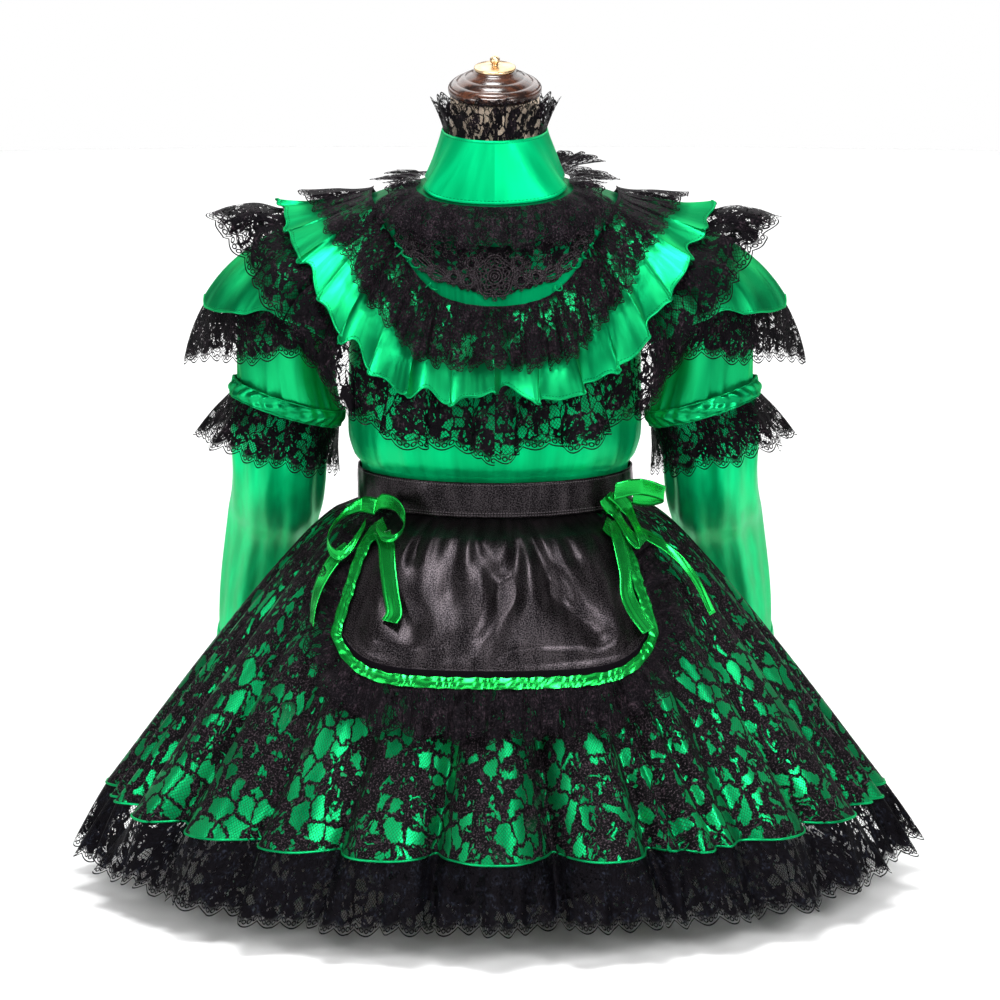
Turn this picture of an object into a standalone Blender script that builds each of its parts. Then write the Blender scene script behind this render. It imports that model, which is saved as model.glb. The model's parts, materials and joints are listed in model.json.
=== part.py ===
"""Maid dress worn by a limbless dress form on a short stand. Metres, +Z up, front towards -Y.

Every cloth piece is a closed wall between two grids of points. The grids come from the sizes and
tables below: rows run from a piece's seam to its edge, columns run round it.
"""
import math

import bmesh
import bpy
import numpy as np
from mathutils import Matrix, Vector

for item in list(bpy.data.objects):
    bpy.data.objects.remove(item, do_unlink=True)

SEAM = 0.0003            # gap between two pieces at a seam
SATIN = 0.0018           # wall of the satin pieces
LACE = 0.0016            # wall of the lace pieces
EASE = 0.0009            # cloth above the body surface
FORM_INSET = 0.0026      # the form lies this far inside the body surface

BASE_RADIUS = 0.150
BASE_HEIGHT = 0.018
POLE_RADIUS = 0.016
TORSO_BOTTOM = 0.262
NECK_TOP = 0.950         # height of the neck's centre at its top
NECK_TILT = 13.0         # degrees, the neck's top leans to the front
NECK_FORWARD = 0.010     # the neck's top lies this far in front of the torso's middle

WAIST_TOP = 0.5075       # upper edge of the waistband
WAIST_BOTTOM = 0.4655    # lower edge of the waistband
WAIST_SEAM = 0.4862      # bodice meets skirt inside the waistband
SKIRT_HEM = 0.116
LACE_HEM = 0.038
SKIRT_RATIO = 0.81       # depth of the skirt over its width
SKIRT_FOLDS = 24
HEM_WAVES = 32
BERTHA_WAVES = 16
CAP_WAVES = 4
FRILL_WAVES = 8
COLLAR_WAVES = 12
NECK_WAVES = 10
APRON_WAVES = 16

# Garment's body, one row a level: height, half width, depth to the front, depth to the back
BODY = [
    dict(z=0.262, side=0.150, front=0.112, back=0.118),
    dict(z=0.300, side=0.172, front=0.124, back=0.136),
    dict(z=0.360, side=0.175, front=0.128, back=0.140),
    dict(z=0.440, side=0.158, front=0.122, back=0.120),
    dict(z=0.485, side=0.152, front=0.122, back=0.117),
    dict(z=0.540, side=0.155, front=0.125, back=0.108),
    dict(z=0.600, side=0.163, front=0.134, back=0.106),
    dict(z=0.650, side=0.169, front=0.140, back=0.110),
    dict(z=0.690, side=0.172, front=0.134, back=0.115),
    dict(z=0.724, side=0.176, front=0.123, back=0.117),
    dict(z=0.760, side=0.181, front=0.107, back=0.115),
    dict(z=0.795, side=0.184, front=0.091, back=0.108),
    dict(z=0.810, side=0.178, front=0.084, back=0.103),
    dict(z=0.820, side=0.166, front=0.080, back=0.098),
    dict(z=0.830, side=0.143, front=0.0765, back=0.093),
    dict(z=0.839, side=0.113, front=0.0725, back=0.086),
    dict(z=0.845, side=0.090, front=0.069, back=0.080),
    dict(z=0.851, side=0.076, front=0.065, back=0.074),
    dict(z=0.861, side=0.063, front=0.059, back=0.064),
    dict(z=0.878, side=0.056, front=0.055, back=0.056),
    dict(z=0.960, side=0.053, front=0.053, back=0.053),
]

# Bodice beyond the body, bloused over the waistband
BODICE = [
    dict(z=0.480, beyond=0.0066), dict(z=0.509, beyond=0.0070), dict(z=0.524, beyond=0.0145),
    dict(z=0.548, beyond=0.0190), dict(z=0.590, beyond=0.0140), dict(z=0.640, beyond=0.0070),
    dict(z=0.690, beyond=0.0030), dict(z=0.860, beyond=0.0027),
]

# Neckline, yoke seam and armhole by angle from the front centre: upper edge of the bodice,
# lower edge of the yoke round the armhole, line of the collar
EDGES = [
    dict(angle=0, bodice=0.7030, yoke=0.7033, collar=0.8260),
    dict(angle=14, bodice=0.7085, yoke=0.7088, collar=0.8275),
    dict(angle=27, bodice=0.7230, yoke=0.7233, collar=0.8310),
    dict(angle=40, bodice=0.7520, yoke=0.7523, collar=0.8365),
    dict(angle=50, bodice=0.7640, yoke=0.7643, collar=0.8405),
    dict(angle=62, bodice=0.7400, yoke=0.7830, collar=0.8460),
    dict(angle=76, bodice=0.6900, yoke=0.7970, collar=0.8485),
    dict(angle=90, bodice=0.6650, yoke=0.8020, collar=0.8495),
    dict(angle=104, bodice=0.6900, yoke=0.7970, collar=0.8500),
    dict(angle=118, bodice=0.7400, yoke=0.7850, collar=0.8500),
    dict(angle=130, bodice=0.7700, yoke=0.7703, collar=0.8500),
    dict(angle=145, bodice=0.7560, yoke=0.7563, collar=0.8500),
    dict(angle=162, bodice=0.7440, yoke=0.7443, collar=0.8500),
    dict(angle=180, bodice=0.7400, yoke=0.7403, collar=0.8500),
]

# Skirt: mean half width at each level and how far its folds swing
SKIRT = [
    dict(z=0.4860, side=0.1590, swing=0.0000), dict(z=0.4650, side=0.1600, swing=0.0002),
    dict(z=0.4480, side=0.1960, swing=0.0035), dict(z=0.4000, side=0.2450, swing=0.0060),
    dict(z=0.3000, side=0.3260, swing=0.0095), dict(z=0.1160, side=0.4620, swing=0.0145),
]

# Bertha on the wearer's left half: the yoke seam by angle and height, how far down the satin the
# top lace reaches, the satin's edge, the under-lace's edge
BERTHA = [
    dict(angle=0, z=0.7070, top=0.76, satin=(0.000, -0.178, 0.622), lace=(0.000, -0.184, 0.551)),
    dict(angle=15, z=0.7125, top=0.76, satin=(0.048, -0.176, 0.611), lace=(0.049, -0.182, 0.550)),
    dict(angle=26, z=0.7270, top=0.66, satin=(0.109, -0.166, 0.625), lace=(0.115, -0.172, 0.567)),
    dict(angle=37, z=0.7620, top=0.60, satin=(0.155, -0.149, 0.661), lace=(0.158, -0.154, 0.587)),
    dict(angle=45, z=0.7960, top=0.58, satin=(0.198, -0.121, 0.714), lace=(0.224, -0.137, 0.664)),
    dict(angle=60, z=0.8210, top=0.62, satin=(0.230, -0.076, 0.763), lace=(0.280, -0.092, 0.733)),
    dict(angle=90, z=0.8300, top=0.72, satin=(0.252, -0.006, 0.812), lace=(0.334, -0.008, 0.802)),
    dict(angle=120, z=0.8210, top=0.62, satin=(0.230, 0.070, 0.766), lace=(0.280, 0.088, 0.735)),
    dict(angle=136, z=0.7970, top=0.58, satin=(0.196, 0.116, 0.716), lace=(0.222, 0.133, 0.666)),
    dict(angle=146, z=0.7720, top=0.60, satin=(0.152, 0.146, 0.664), lace=(0.156, 0.153, 0.592)),
    dict(angle=162, z=0.7480, top=0.70, satin=(0.086, 0.160, 0.634), lace=(0.090, 0.168, 0.566)),
    dict(angle=180, z=0.7440, top=0.74, satin=(0.000, 0.164, 0.628), lace=(0.000, 0.172, 0.560)),
]

# Cap flounce by angle round the armhole, 0 at the shoulder, positive to the front
CAP = [
    dict(angle=-112, satin=(0.186, 0.103, 0.668), lace=(0.187, 0.106, 0.615)),
    dict(angle=-80, satin=(0.229, 0.105, 0.690), lace=(0.236, 0.110, 0.648)),
    dict(angle=-42, satin=(0.298, 0.076, 0.698), lace=(0.308, 0.084, 0.638)),
    dict(angle=0, satin=(0.336, -0.004, 0.695), lace=(0.350, -0.005, 0.632)),
    dict(angle=42, satin=(0.298, -0.076, 0.698), lace=(0.308, -0.084, 0.638)),
    dict(angle=80, satin=(0.229, -0.101, 0.690), lace=(0.236, -0.106, 0.648)),
    dict(angle=112, satin=(0.186, -0.098, 0.664), lace=(0.187, -0.102, 0.606)),
]

# Sleeve band: its middle and the lean of its plane; pieces join it at places along its axis
BAND_MIDDLE = (0.2483, 0.0, 0.5835)
BAND_LEAN = 73
BAND = dict(half=0.0095, tall=0.0700, deep=0.0660, wall=0.0022)

# Puff sleeve's rings: centre, lean of the ring's plane, half height, half depth
PUFF = [
    dict(x=0.2060, z=0.7280, lean=22, tall=0.0580, deep=0.0800),
    dict(x=0.2330, z=0.7060, lean=52, tall=0.0620, deep=0.0830),
    dict(x=0.2480, z=0.6700, lean=66, tall=0.0640, deep=0.0800),
    dict(x=0.2490, z=0.6320, lean=71, tall=0.0640, deep=0.0710),
]
FRILL = [
    dict(x=0.2514, z=0.5735, lean=73, tall=0.0692, deep=0.0652, swing=0.0),
    dict(x=0.2620, z=0.5480, lean=74, tall=0.0770, deep=0.0800, swing=0.0030),
    dict(x=0.2710, z=0.5180, lean=76, tall=0.0860, deep=0.0930, swing=0.0066),
]
# Long sleeve's rings along its middle line
SLEEVE = [
    dict(x=0.2570, y=0.001, z=0.5360, wide=0.0605, deep=0.0550),
    dict(x=0.2600, y=0.015, z=0.5040, wide=0.0575, deep=0.0500),
    dict(x=0.2660, y=0.070, z=0.4580, wide=0.0555, deep=0.0480),
    dict(x=0.2740, y=0.145, z=0.4150, wide=0.0550, deep=0.0470),
    dict(x=0.2900, y=0.236, z=0.3250, wide=0.0555, deep=0.0440),
    dict(x=0.3050, y=0.308, z=0.2380, wide=0.0500, deep=0.0400),
]
CUFF_LENGTH = 0.026

# Apron: half width at each level, before its lower corners are rounded
APRON = [
    dict(z=0.4650, wide=0.118), dict(z=0.4400, wide=0.150), dict(z=0.3900, wide=0.170),
    dict(z=0.3460, wide=0.184), dict(z=0.3000, wide=0.193),
]
APRON_BOTTOM = 0.302
APRON_LEVELS = (0.465, 0.448, 0.426, 0.400, 0.350, 0.302)
APRON_CORNER = 0.042     # rise of the apron's edge at its lower corners
RIBBON_WIDTH = 0.0115
# Apron lace beyond the ribbon, by place along the apron's edge from the waist
APRON_LACE = [
    dict(place=0.00, reach=0.016), dict(place=0.12, reach=0.036), dict(place=0.27, reach=0.049),
    dict(place=0.36, reach=0.056), dict(place=0.50, reach=0.058),
]

# Ribbon bows, one table a piece: place in front view, height over what lies below, and how far
# the ribbon is turned on edge
BOW_LEFT = {
    "curl": [(-0.140, 0.474, 0.0094, 0), (-0.132, 0.481, 0.0108, 12), (-0.117, 0.480, 0.0100, 32),
             (-0.107, 0.469, 0.0130, 38), (-0.107, 0.457, 0.0140, 38), (-0.117, 0.449, 0.0130, 34),
             (-0.130, 0.449, 0.0125, 24), (-0.138, 0.456, 0.0130, 14)],
    "loop": [(-0.140, 0.472, 0.0072, 0), (-0.156, 0.472, 0.0084, 12), (-0.175, 0.464, 0.0100, 28),
             (-0.190, 0.451, 0.0115, 36), (-0.196, 0.440, 0.0115, 40), (-0.192, 0.429, 0.0110, 38),
             (-0.181, 0.425, 0.0091, 34), (-0.170, 0.432, 0.0072, 22), (-0.160, 0.445, 0.0066, 8),
             (-0.152, 0.456, 0.0068, 0)],
    "tail_inner": [(-0.132, 0.450, 0.0004, 0), (-0.126, 0.437, 0.0018, 2), (-0.124, 0.417, 0.0040, 8),
                   (-0.120, 0.393, 0.0050, 8), (-0.116, 0.373, 0.0060, 6), (-0.121, 0.364, 0.0080, 14)],
    "tail_outer": [(-0.172, 0.432, 0.0060, 0), (-0.181, 0.425, 0.0046, 0), (-0.192, 0.413, 0.0060, 12),
                   (-0.203, 0.396, 0.0066, 34), (-0.210, 0.375, 0.0080, 60), (-0.212, 0.354, 0.0080, 70)],
}
BOW_RIGHT = {
    "loop_low": [(0.139, 0.490, 0.0120, 0), (0.151, 0.477, 0.0145, 2), (0.162, 0.460, 0.0172, 3),
                 (0.171, 0.445, 0.0168, 3), (0.173, 0.437, 0.0138, 2), (0.167, 0.438, 0.0108, 2),
                 (0.155, 0.449, 0.0090, 2), (0.143, 0.464, 0.0080, 1), (0.133, 0.478, 0.0072, 0),
                 (0.130, 0.486, 0.0066, 0)],
    "loop_high": [(0.141, 0.492, 0.0150, 0), (0.161, 0.495, 0.0220, 8), (0.181, 0.493, 0.0285, 15),
                  (0.194, 0.489, 0.0300, 20), (0.200, 0.486, 0.0250, 20), (0.197, 0.483, 0.0180, 14),
                  (0.186, 0.480, 0.0120, 8), (0.173, 0.480, 0.0090, 4), (0.163, 0.482, 0.0078, 2)],
    "tail_inner": [(0.138, 0.458, 0.0030, 0), (0.142, 0.449, 0.0032, 2), (0.147, 0.432, 0.0040, 4),
                   (0.152, 0.410, 0.0055, 6), (0.153, 0.389, 0.0065, 8), (0.163, 0.369, 0.0075, 6),
                   (0.178, 0.350, 0.0085, 4)],
    "tail_outer": [(0.166, 0.450, 0.0102, 0), (0.184, 0.440, 0.0082, 12), (0.202, 0.428, 0.0080, 28),
                   (0.221, 0.411, 0.0080, 34), (0.238, 0.388, 0.0080, 38), (0.254, 0.357, 0.0080, 42)],
}
# Direction across each ribbon in front view, at its start and at its end
BOW_ACROSS = {
    "bow_right_curl": ((0.20, 1.0), (0.20, 1.0)), "bow_right_loop": ((0.20, 1.0), (0.05, 1.0)),
    "bow_right_tail_inner": ((1.0, 0.25), (1.0, -0.10)),
    "bow_right_tail_outer": ((0.60, -0.80), (1.0, -0.20)),
    "bow_left_loop_low": ((0.80, 0.60), (0.80, 0.60)), "bow_left_loop_high": ((0.10, 1.0), (0.10, 1.0)),
    "bow_left_tail_inner": ((1.0, 0.25), (0.80, 0.30)),
    "bow_left_tail_outer": ((0.60, 0.80), (0.80, 0.50)),
}
BOW_WIDTH = 0.018

# Yoke applique in front view: open rings, leaves as (x, z, length, direction)
ROSE = dict(x=0.000, z=0.746, outer=0.0225, inner=0.0095, cord=0.0034)
RINGS = [
    dict(x=0.0305, z=0.7410, radius=0.0078), dict(x=0.0265, z=0.7600, radius=0.0074),
    dict(x=0.0470, z=0.7450, radius=0.0072),
    dict(x=0.0985, z=0.7765, radius=0.0072), dict(x=0.1068, z=0.7882, radius=0.0068),
]
LEAVES = [
    dict(x=0.0530, z=0.7430, long=0.026, turn=66), dict(x=0.0700, z=0.7500, long=0.032, turn=52),
]


def smooth_curve(rows, across, value):
    """Monotone cubic curve through one named column of a table."""
    xs = np.array([row[across] for row in rows], float)
    ys = np.array([row[value] for row in rows], float)
    order = np.argsort(xs)
    xs, ys = xs[order], ys[order]
    step = np.diff(xs)
    slope = np.diff(ys) / step
    lean = np.zeros(len(xs))
    lean[0], lean[-1] = slope[0], slope[-1]
    for i in range(1, len(xs) - 1):
        if slope[i - 1] * slope[i] > 0:
            lean[i] = 2 * slope[i - 1] * slope[i] / (slope[i - 1] + slope[i])

    def read(at):
        at = np.clip(np.asarray(at, float), xs[0], xs[-1])
        i = np.clip(np.searchsorted(xs, at) - 1, 0, len(step) - 1)
        t = (at - xs[i]) / step[i]
        return ((1 + 2 * t) * (1 - t) ** 2 * ys[i] + t * (1 - t) ** 2 * step[i] * lean[i]
                + t * t * (3 - 2 * t) * ys[i + 1] + t * t * (t - 1) * step[i] * lean[i + 1])

    return read


def spline(points, places):
    """Catmull-Rom curve through points, read at places counted in points; ends are held."""
    points = np.asarray(points, float)
    padded = np.vstack([2 * points[0] - points[1], points, 2 * points[-1] - points[-2]])
    places = np.asarray(places, float)
    i = np.clip(places.astype(int), 0, len(points) - 2)
    t = (places - i)[:, None]
    a, b, c, d = padded[i], padded[i + 1], padded[i + 2], padded[i + 3]
    return 0.5 * (2 * b + (c - a) * t + (2 * a - 5 * b + 4 * c - d) * t ** 2
                  + (3 * b - a - 3 * c + d) * t ** 3)


def normals(grid, closed):
    """Unit normals of a grid of points, from its rows and columns."""
    down = np.gradient(grid, axis=0)
    if closed:
        across = (np.roll(grid, -1, axis=1) - np.roll(grid, 1, axis=1)) / 2
    else:
        across = np.gradient(grid, axis=1)
    normal = np.cross(down, across)
    return normal / np.linalg.norm(normal, axis=2, keepdims=True)


def material(name, colour, roughness, metallic=0.0):
    mat = bpy.data.materials.new(name)
    mat.use_nodes = True
    shader = mat.node_tree.nodes["Principled BSDF"]
    shader.inputs["Base Color"].default_value = (*colour, 1)
    shader.inputs["Roughness"].default_value = roughness
    shader.inputs["Metallic"].default_value = metallic
    mat.diffuse_color = (*colour, 1)
    return mat


FINISH = {
    "green_satin": ((0.0, 0.30, 0.09), 0.3), "black_satin": ((0.012, 0.011, 0.012), 0.35),
    "black_lace": ((0.015, 0.012, 0.015), 0.8), "yoke_green": ((0.0, 0.15, 0.05), 0.5),
    "ribbon_green": ((0.0, 0.42, 0.05), 0.35), "linen": ((0.62, 0.50, 0.38), 0.9),
    "dark_wood": ((0.035, 0.012, 0.006), 0.3), "brass": ((0.75, 0.55, 0.30), 0.3, 1.0),
    "dark_metal": ((0.03, 0.03, 0.03), 0.45, 0.8),
}


def add_object(name, mesh, finish):
    mesh.materials.append(material(name + "_" + finish, *FINISH[finish]))
    mesh.shade_smooth()
    mesh.set_sharp_from_angle(angle=math.radians(50))
    obj = bpy.data.objects.new(name, mesh)
    bpy.context.scene.collection.objects.link(obj)
    return obj


def mesh_from(name, points, faces, finish):
    mesh = bpy.data.meshes.new(name)
    mesh.from_pydata([tuple(float(v) for v in p) for p in points], [], faces)
    shape = bmesh.new()
    shape.from_mesh(mesh)
    bmesh.ops.recalc_face_normals(shape, faces=shape.faces)
    shape.to_mesh(mesh)
    shape.free()
    return add_object(name, mesh, finish)


def cloth(name, inner, outer, closed, finish):
    """Closed wall between two grids. Both sides are split along the same diagonals, so walls
    that lie over one another on shared columns never cross."""
    rows, columns = inner.shape[:2]
    points = np.vstack([inner.reshape(-1, 3), outer.reshape(-1, 3)])

    def at(side, r, c):
        return side * rows * columns + r * columns + c % columns

    faces = []
    for r in range(rows - 1):
        for c in range(columns if closed else columns - 1):
            for side in (0, 1):
                a, b = at(side, r, c), at(side, r, c + 1)
                d, e = at(side, r + 1, c), at(side, r + 1, c + 1)
                faces += [(a, b, e), (a, e, d)] if side else [(a, e, b), (a, d, e)]
    for c in range(columns if closed else columns - 1):
        faces.append((at(0, 0, c), at(0, 0, c + 1), at(1, 0, c + 1), at(1, 0, c)))
        faces.append((at(0, rows - 1, c + 1), at(0, rows - 1, c), at(1, rows - 1, c), at(1, rows - 1, c + 1)))
    if not closed:
        for r in range(rows - 1):
            faces.append((at(0, r + 1, 0), at(0, r, 0), at(1, r, 0), at(1, r + 1, 0)))
            faces.append((at(0, r, columns - 1), at(0, r + 1, columns - 1),
                          at(1, r + 1, columns - 1), at(1, r, columns - 1)))
    return mesh_from(name, points, faces, finish)


body_side = smooth_curve(BODY, "z", "side")
body_front = smooth_curve(BODY, "z", "front")
body_back = smooth_curve(BODY, "z", "back")


def body(angle, z, lift=0.0):
    """Point of the body at an angle from the front centre, lifted along its normal."""
    angle, z, lift = np.broadcast_arrays(np.asarray(angle, float), z, lift)

    def place(turn, height):
        depth = np.where(np.cos(turn) > 0, body_front(height), body_back(height))
        return np.stack([body_side(height) * np.sin(turn), -depth * np.cos(turn), height], axis=-1)

    along = place(angle + 0.004, z) - place(angle - 0.004, z)
    up = place(angle, z + 0.0015) - place(angle, z - 0.0015)
    normal = np.cross(along, up)
    normal /= np.linalg.norm(normal, axis=-1, keepdims=True)
    return place(angle, z) + normal * lift[..., None]


def even_angles(count, start, end):
    return np.radians(np.linspace(start, end, count))


def edge_at(angle, column):
    turn = np.abs((np.degrees(angle) + 180) % 360 - 180)
    return smooth_curve(EDGES, "angle", column)(turn)


# The dress form
def make_form():
    angles = even_angles(21, 0, 360)[:-1]
    levels = [0.262, 0.272, 0.300, 0.360, 0.430, 0.485, 0.550, 0.610, 0.655, 0.700, 0.750, 0.790, 0.810,
              0.824, 0.840, 0.853, 0.870]
    rings = [body(angles, np.full(len(angles), z), -FORM_INSET) for z in levels]
    for ring, z in zip(rings, levels):
        ring[:, 2] = z if z < 0.70 or z > 0.88 else ring[:, 2]
    tilt = math.radians(NECK_TILT)
    top = np.stack([0.0518 * np.sin(angles), -0.0518 * np.cos(angles) * math.cos(tilt) - NECK_FORWARD,
                    NECK_TOP - SEAM - 0.0518 * np.cos(angles) * math.sin(tilt)], axis=-1)
    rings += [0.45 * rings[-1] + 0.55 * top, top]
    grid = np.array(rings)
    rows, columns = grid.shape[:2]
    faces = [(r * columns + c, r * columns + (c + 1) % columns, (r + 1) * columns + (c + 1) % columns,
              (r + 1) * columns + c) for r in range(rows - 1) for c in range(columns)]
    faces.append(tuple(range(columns)))
    faces.append(tuple(range((rows - 1) * columns, rows * columns)))
    mesh_from("form_torso", grid.reshape(-1, 3), faces, "linen")


def turned(name, profile, finish, sides=20):
    """Solid of revolution about Z from a profile of (radius, height)."""
    points, faces = [], []
    for radius, height in profile:
        for i in range(sides):
            turn = 2 * math.pi * i / sides
            points.append((radius * math.cos(turn), radius * math.sin(turn), height))
    for r in range(len(profile) - 1):
        for i in range(sides):
            j = (i + 1) % sides
            faces.append((r * sides + i, r * sides + j, (r + 1) * sides + j, (r + 1) * sides + i))
    faces.append(tuple(range(sides)))
    faces.append(tuple(range((len(profile) - 1) * sides, len(profile) * sides)))
    return mesh_from(name, points, faces, finish)


def make_stand():
    turned("stand_base", [(0.146, 0), (0.150, 0.004), (0.150, 0.012), (0.144, 0.0165),
                          (0.130, BASE_HEIGHT)], "dark_metal", 24)
    turned("stand_pole", [(POLE_RADIUS, BASE_HEIGHT + SEAM), (POLE_RADIUS, TORSO_BOTTOM - SEAM)],
           "dark_metal", 12)
    place = (Matrix.Translation((0, -NECK_FORWARD, NECK_TOP))
             @ Matrix.Rotation(math.radians(NECK_TILT), 4, "X"))
    cap = turned("neck_cap", [(0.0515, 0.0003), (0.0545, 0.0040), (0.0550, 0.0085), (0.0520, 0.0130),
                              (0.0465, 0.0162), (0.0440, 0.0165), (0.0425, 0.0185), (0.0365, 0.0222),
                              (0.0345, 0.0226), (0.0270, 0.0270), (0.0250, 0.0300)],
                 "dark_wood")
    disc = turned("cap_finial", [(0.0238, 0.0303), (0.0245, 0.0315), (0.0245, 0.0330), (0.0232, 0.0340),
                                 (0.0045, 0.0352), (0.0036, 0.0372), (0.0061, 0.0415), (0.0048, 0.0450),
                                 (0.0020, 0.0466)], "brass", 12)
    for obj in (cap, disc):
        obj.matrix_world = place


# Collar, its lace and the ruffle at the neck
def make_collar():
    angles = even_angles(25, 0, 360)[:-1]
    foot = body(angles, edge_at(angles, "collar"), EASE + SATIN + 0.0018)
    rim_depth = np.where(np.cos(angles) > 0, 0.0600, 0.0570)
    rim = np.stack([0.0605 * np.sin(angles), -rim_depth * np.cos(angles) - 0.003,
                    0.9085 - 0.0085 * np.cos(angles)], axis=-1)
    waist = 0.5 * foot + 0.5 * rim
    waist[:, :2] *= 0.985
    inner = np.array([foot, waist, rim])
    out = np.stack([np.sin(angles), -np.cos(angles), np.full(len(angles), 0.15)], axis=-1)
    cloth("collar", inner, inner + 0.0020 * out, True, "green_satin")

    columns = COLLAR_WAVES * 4
    angles = even_angles(columns + 1, 0, 360)[:-1]
    rim_depth = np.where(np.cos(angles) > 0, 0.0602, 0.0572)
    swing = np.cos(angles * COLLAR_WAVES)
    low = np.stack([0.0607 * np.sin(angles), -rim_depth * np.cos(angles) - 0.003,
                    0.9085 + 0.0010 - 0.0085 * np.cos(angles)], axis=-1)
    reach = 0.0735 + 0.0042 * swing
    high = np.stack([reach * np.sin(angles), -(reach - 0.003) * np.cos(angles) - 0.003,
                     0.9480 + 0.0035 * np.cos(angles * 2) - 0.0025 * np.cos(angles)], axis=-1)
    grid = np.array([low, high])
    out = np.stack([np.sin(angles), -np.cos(angles), np.full(len(angles), -0.2)], axis=-1)
    cloth("collar_lace", grid, grid + LACE * out, True, "black_lace")


NECK_RUFFLE = [
    dict(angle=-180, edge=0.836, lift=0.010), dict(angle=-120, edge=0.839, lift=0.010),
    dict(angle=-90, edge=0.8400, lift=0.007), dict(angle=-62, edge=0.8330, lift=0.007),
    dict(angle=-50, edge=0.8180, lift=0.008), dict(angle=-38, edge=0.7920, lift=0.009),
    dict(angle=0, edge=0.7740, lift=0.010), dict(angle=38, edge=0.7920, lift=0.009),
    dict(angle=50, edge=0.8180, lift=0.008), dict(angle=62, edge=0.8330, lift=0.007),
    dict(angle=90, edge=0.8400, lift=0.008), dict(angle=125, edge=0.8400, lift=0.036),
    dict(angle=150, edge=0.8370, lift=0.032), dict(angle=180, edge=0.836, lift=0.010),
]


def make_neck_ruffle():
    columns = NECK_WAVES * 4
    angles = even_angles(columns + 1, -180, 180)[:-1]
    swing = 1 + np.cos(angles * NECK_WAVES)
    start = edge_at(angles, "collar") - 0.0035
    edge = smooth_curve(NECK_RUFFLE, "angle", "edge")(np.degrees(angles))
    lift = smooth_curve(NECK_RUFFLE, "angle", "lift")(np.degrees(angles))
    inner, outer = [], []
    for share in (0.0, 0.45, 1.0):
        height = start + (edge - start) * share
        over = EASE + SATIN + 0.0026 + (lift - 0.003) * share ** 0.7 + 0.0026 * swing * share
        inner.append(body(angles, height, over))
        outer.append(body(angles, height, over + LACE))
    cloth("neck_ruffle", np.array(inner), np.array(outer), True, "black_lace")


# Yoke and bodice, on the same columns so that their seams match
def panel_angles(start, end, step=9.0):
    count = int(round((end - start) / step)) + 1
    angles = np.radians(np.linspace(start, end, count))
    gap = 0.0009                                     # half of a side seam as an angle
    angles[0] += gap
    angles[-1] -= gap
    return angles


def make_yoke():
    for name, start, end in (("yoke_front", -90, 90), ("yoke_back", 90, 270)):
        angles = panel_angles(start, end)
        low = np.maximum(edge_at(angles, "yoke"), edge_at(angles, "bodice") + SEAM)
        high = edge_at(angles, "collar") + 0.0035
        inner, outer = [], []
        for share in (0.0, 0.28, 0.55, 0.80, 1.0):
            height = low + (high - low) * share
            inner.append(body(angles, height, EASE))
            outer.append(body(angles, height, EASE + SATIN))
        cloth(name, np.array(inner), np.array(outer), False, "yoke_green")


def make_bodice():
    beyond = smooth_curve(BODICE, "z", "beyond")
    for name, start, end in (("bodice_front", -90, 90), ("bodice_back_left", 90, 180),
                             ("bodice_back_right", 180, 270)):
        angles = panel_angles(start, end)
        low = np.full(len(angles), WAIST_SEAM + 0.0004)
        high = edge_at(angles, "bodice")
        inner, outer = [], []
        for share in (-1, 0.0, 0.22, 0.58, 1.0):
            height = low if share < 0 else 0.5085 + (high - 0.5085) * share
            reach = beyond(height)
            inner.append(body(angles, height, reach - SATIN))
            outer.append(body(angles, height, reach))
            if share < 0:
                inner[-1][:, 2] = outer[-1][:, 2] = low
        cloth(name, np.array(inner), np.array(outer), False, "green_satin")


# Bertha: three flounces over one shared surface
def bertha_ring(columns):
    """Seam, share of the top lace, satin edge and lace edge at even steps along the satin's edge."""
    lift = EASE + SATIN + 0.0008
    half = np.array([[*body(math.radians(row["angle"]), row["z"], lift), row["top"], *row["satin"],
                      *row["lace"]] for row in BERTHA])
    other = half[-2:0:-1].copy()
    other[:, [0, 4, 7]] *= -1
    ring = np.vstack([half, other])
    count = len(ring)
    wrapped = np.vstack([ring[-2:], ring, ring[:3]])
    places = np.linspace(0, count, count * 24 + 1)
    dense = spline(wrapped, places + 2)
    length = np.concatenate([[0], np.cumsum(np.linalg.norm(np.diff(dense[:, 4:7], axis=0), axis=1))])
    even = np.linspace(0, length[-1], columns + 1)[:-1]
    read = np.stack([np.interp(even, length, dense[:, i]) for i in range(10)], axis=-1)
    return read[:, 0:3], read[:, 3], read[:, 4:7], read[:, 7:10]


def three_point(seam, middle, edge, share):
    """Curve from seam through the middle point to the edge; share 1 is the middle, 2 the edge."""
    first = np.linalg.norm(middle - seam, axis=1)
    second = np.linalg.norm(edge - middle, axis=1)
    m = first / (first + second)
    s = np.where(share <= 1, m * share, m + (1 - m) * (share - 1))
    a = ((s - m) * (s - 1) / m)[:, None]
    b = (s * (s - 1) / (m * (m - 1)))[:, None]
    c = (s * (s - m) / (1 - m))[:, None]
    return a * seam + b * middle + c * edge


def ruffled(base, closed, layers):
    """Walls stacked over one base grid; each layer names its swing and gap at each row."""
    normal = normals(base, closed)
    level = np.zeros(base.shape[:2])
    walls = []
    for layer in layers:
        rows = len(layer["swing"])
        level = level[:rows]
        swing = np.array(layer["swing"])[:, None] * (1 + layer["wave"])[None, :]
        low = level + np.array(layer["gap"])[:, None] + swing
        high = low + layer["wall"]
        walls.append((base[:rows] + normal[:rows] * low[..., None],
                      base[:rows] + normal[:rows] * high[..., None]))
        level = high
    return walls


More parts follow.
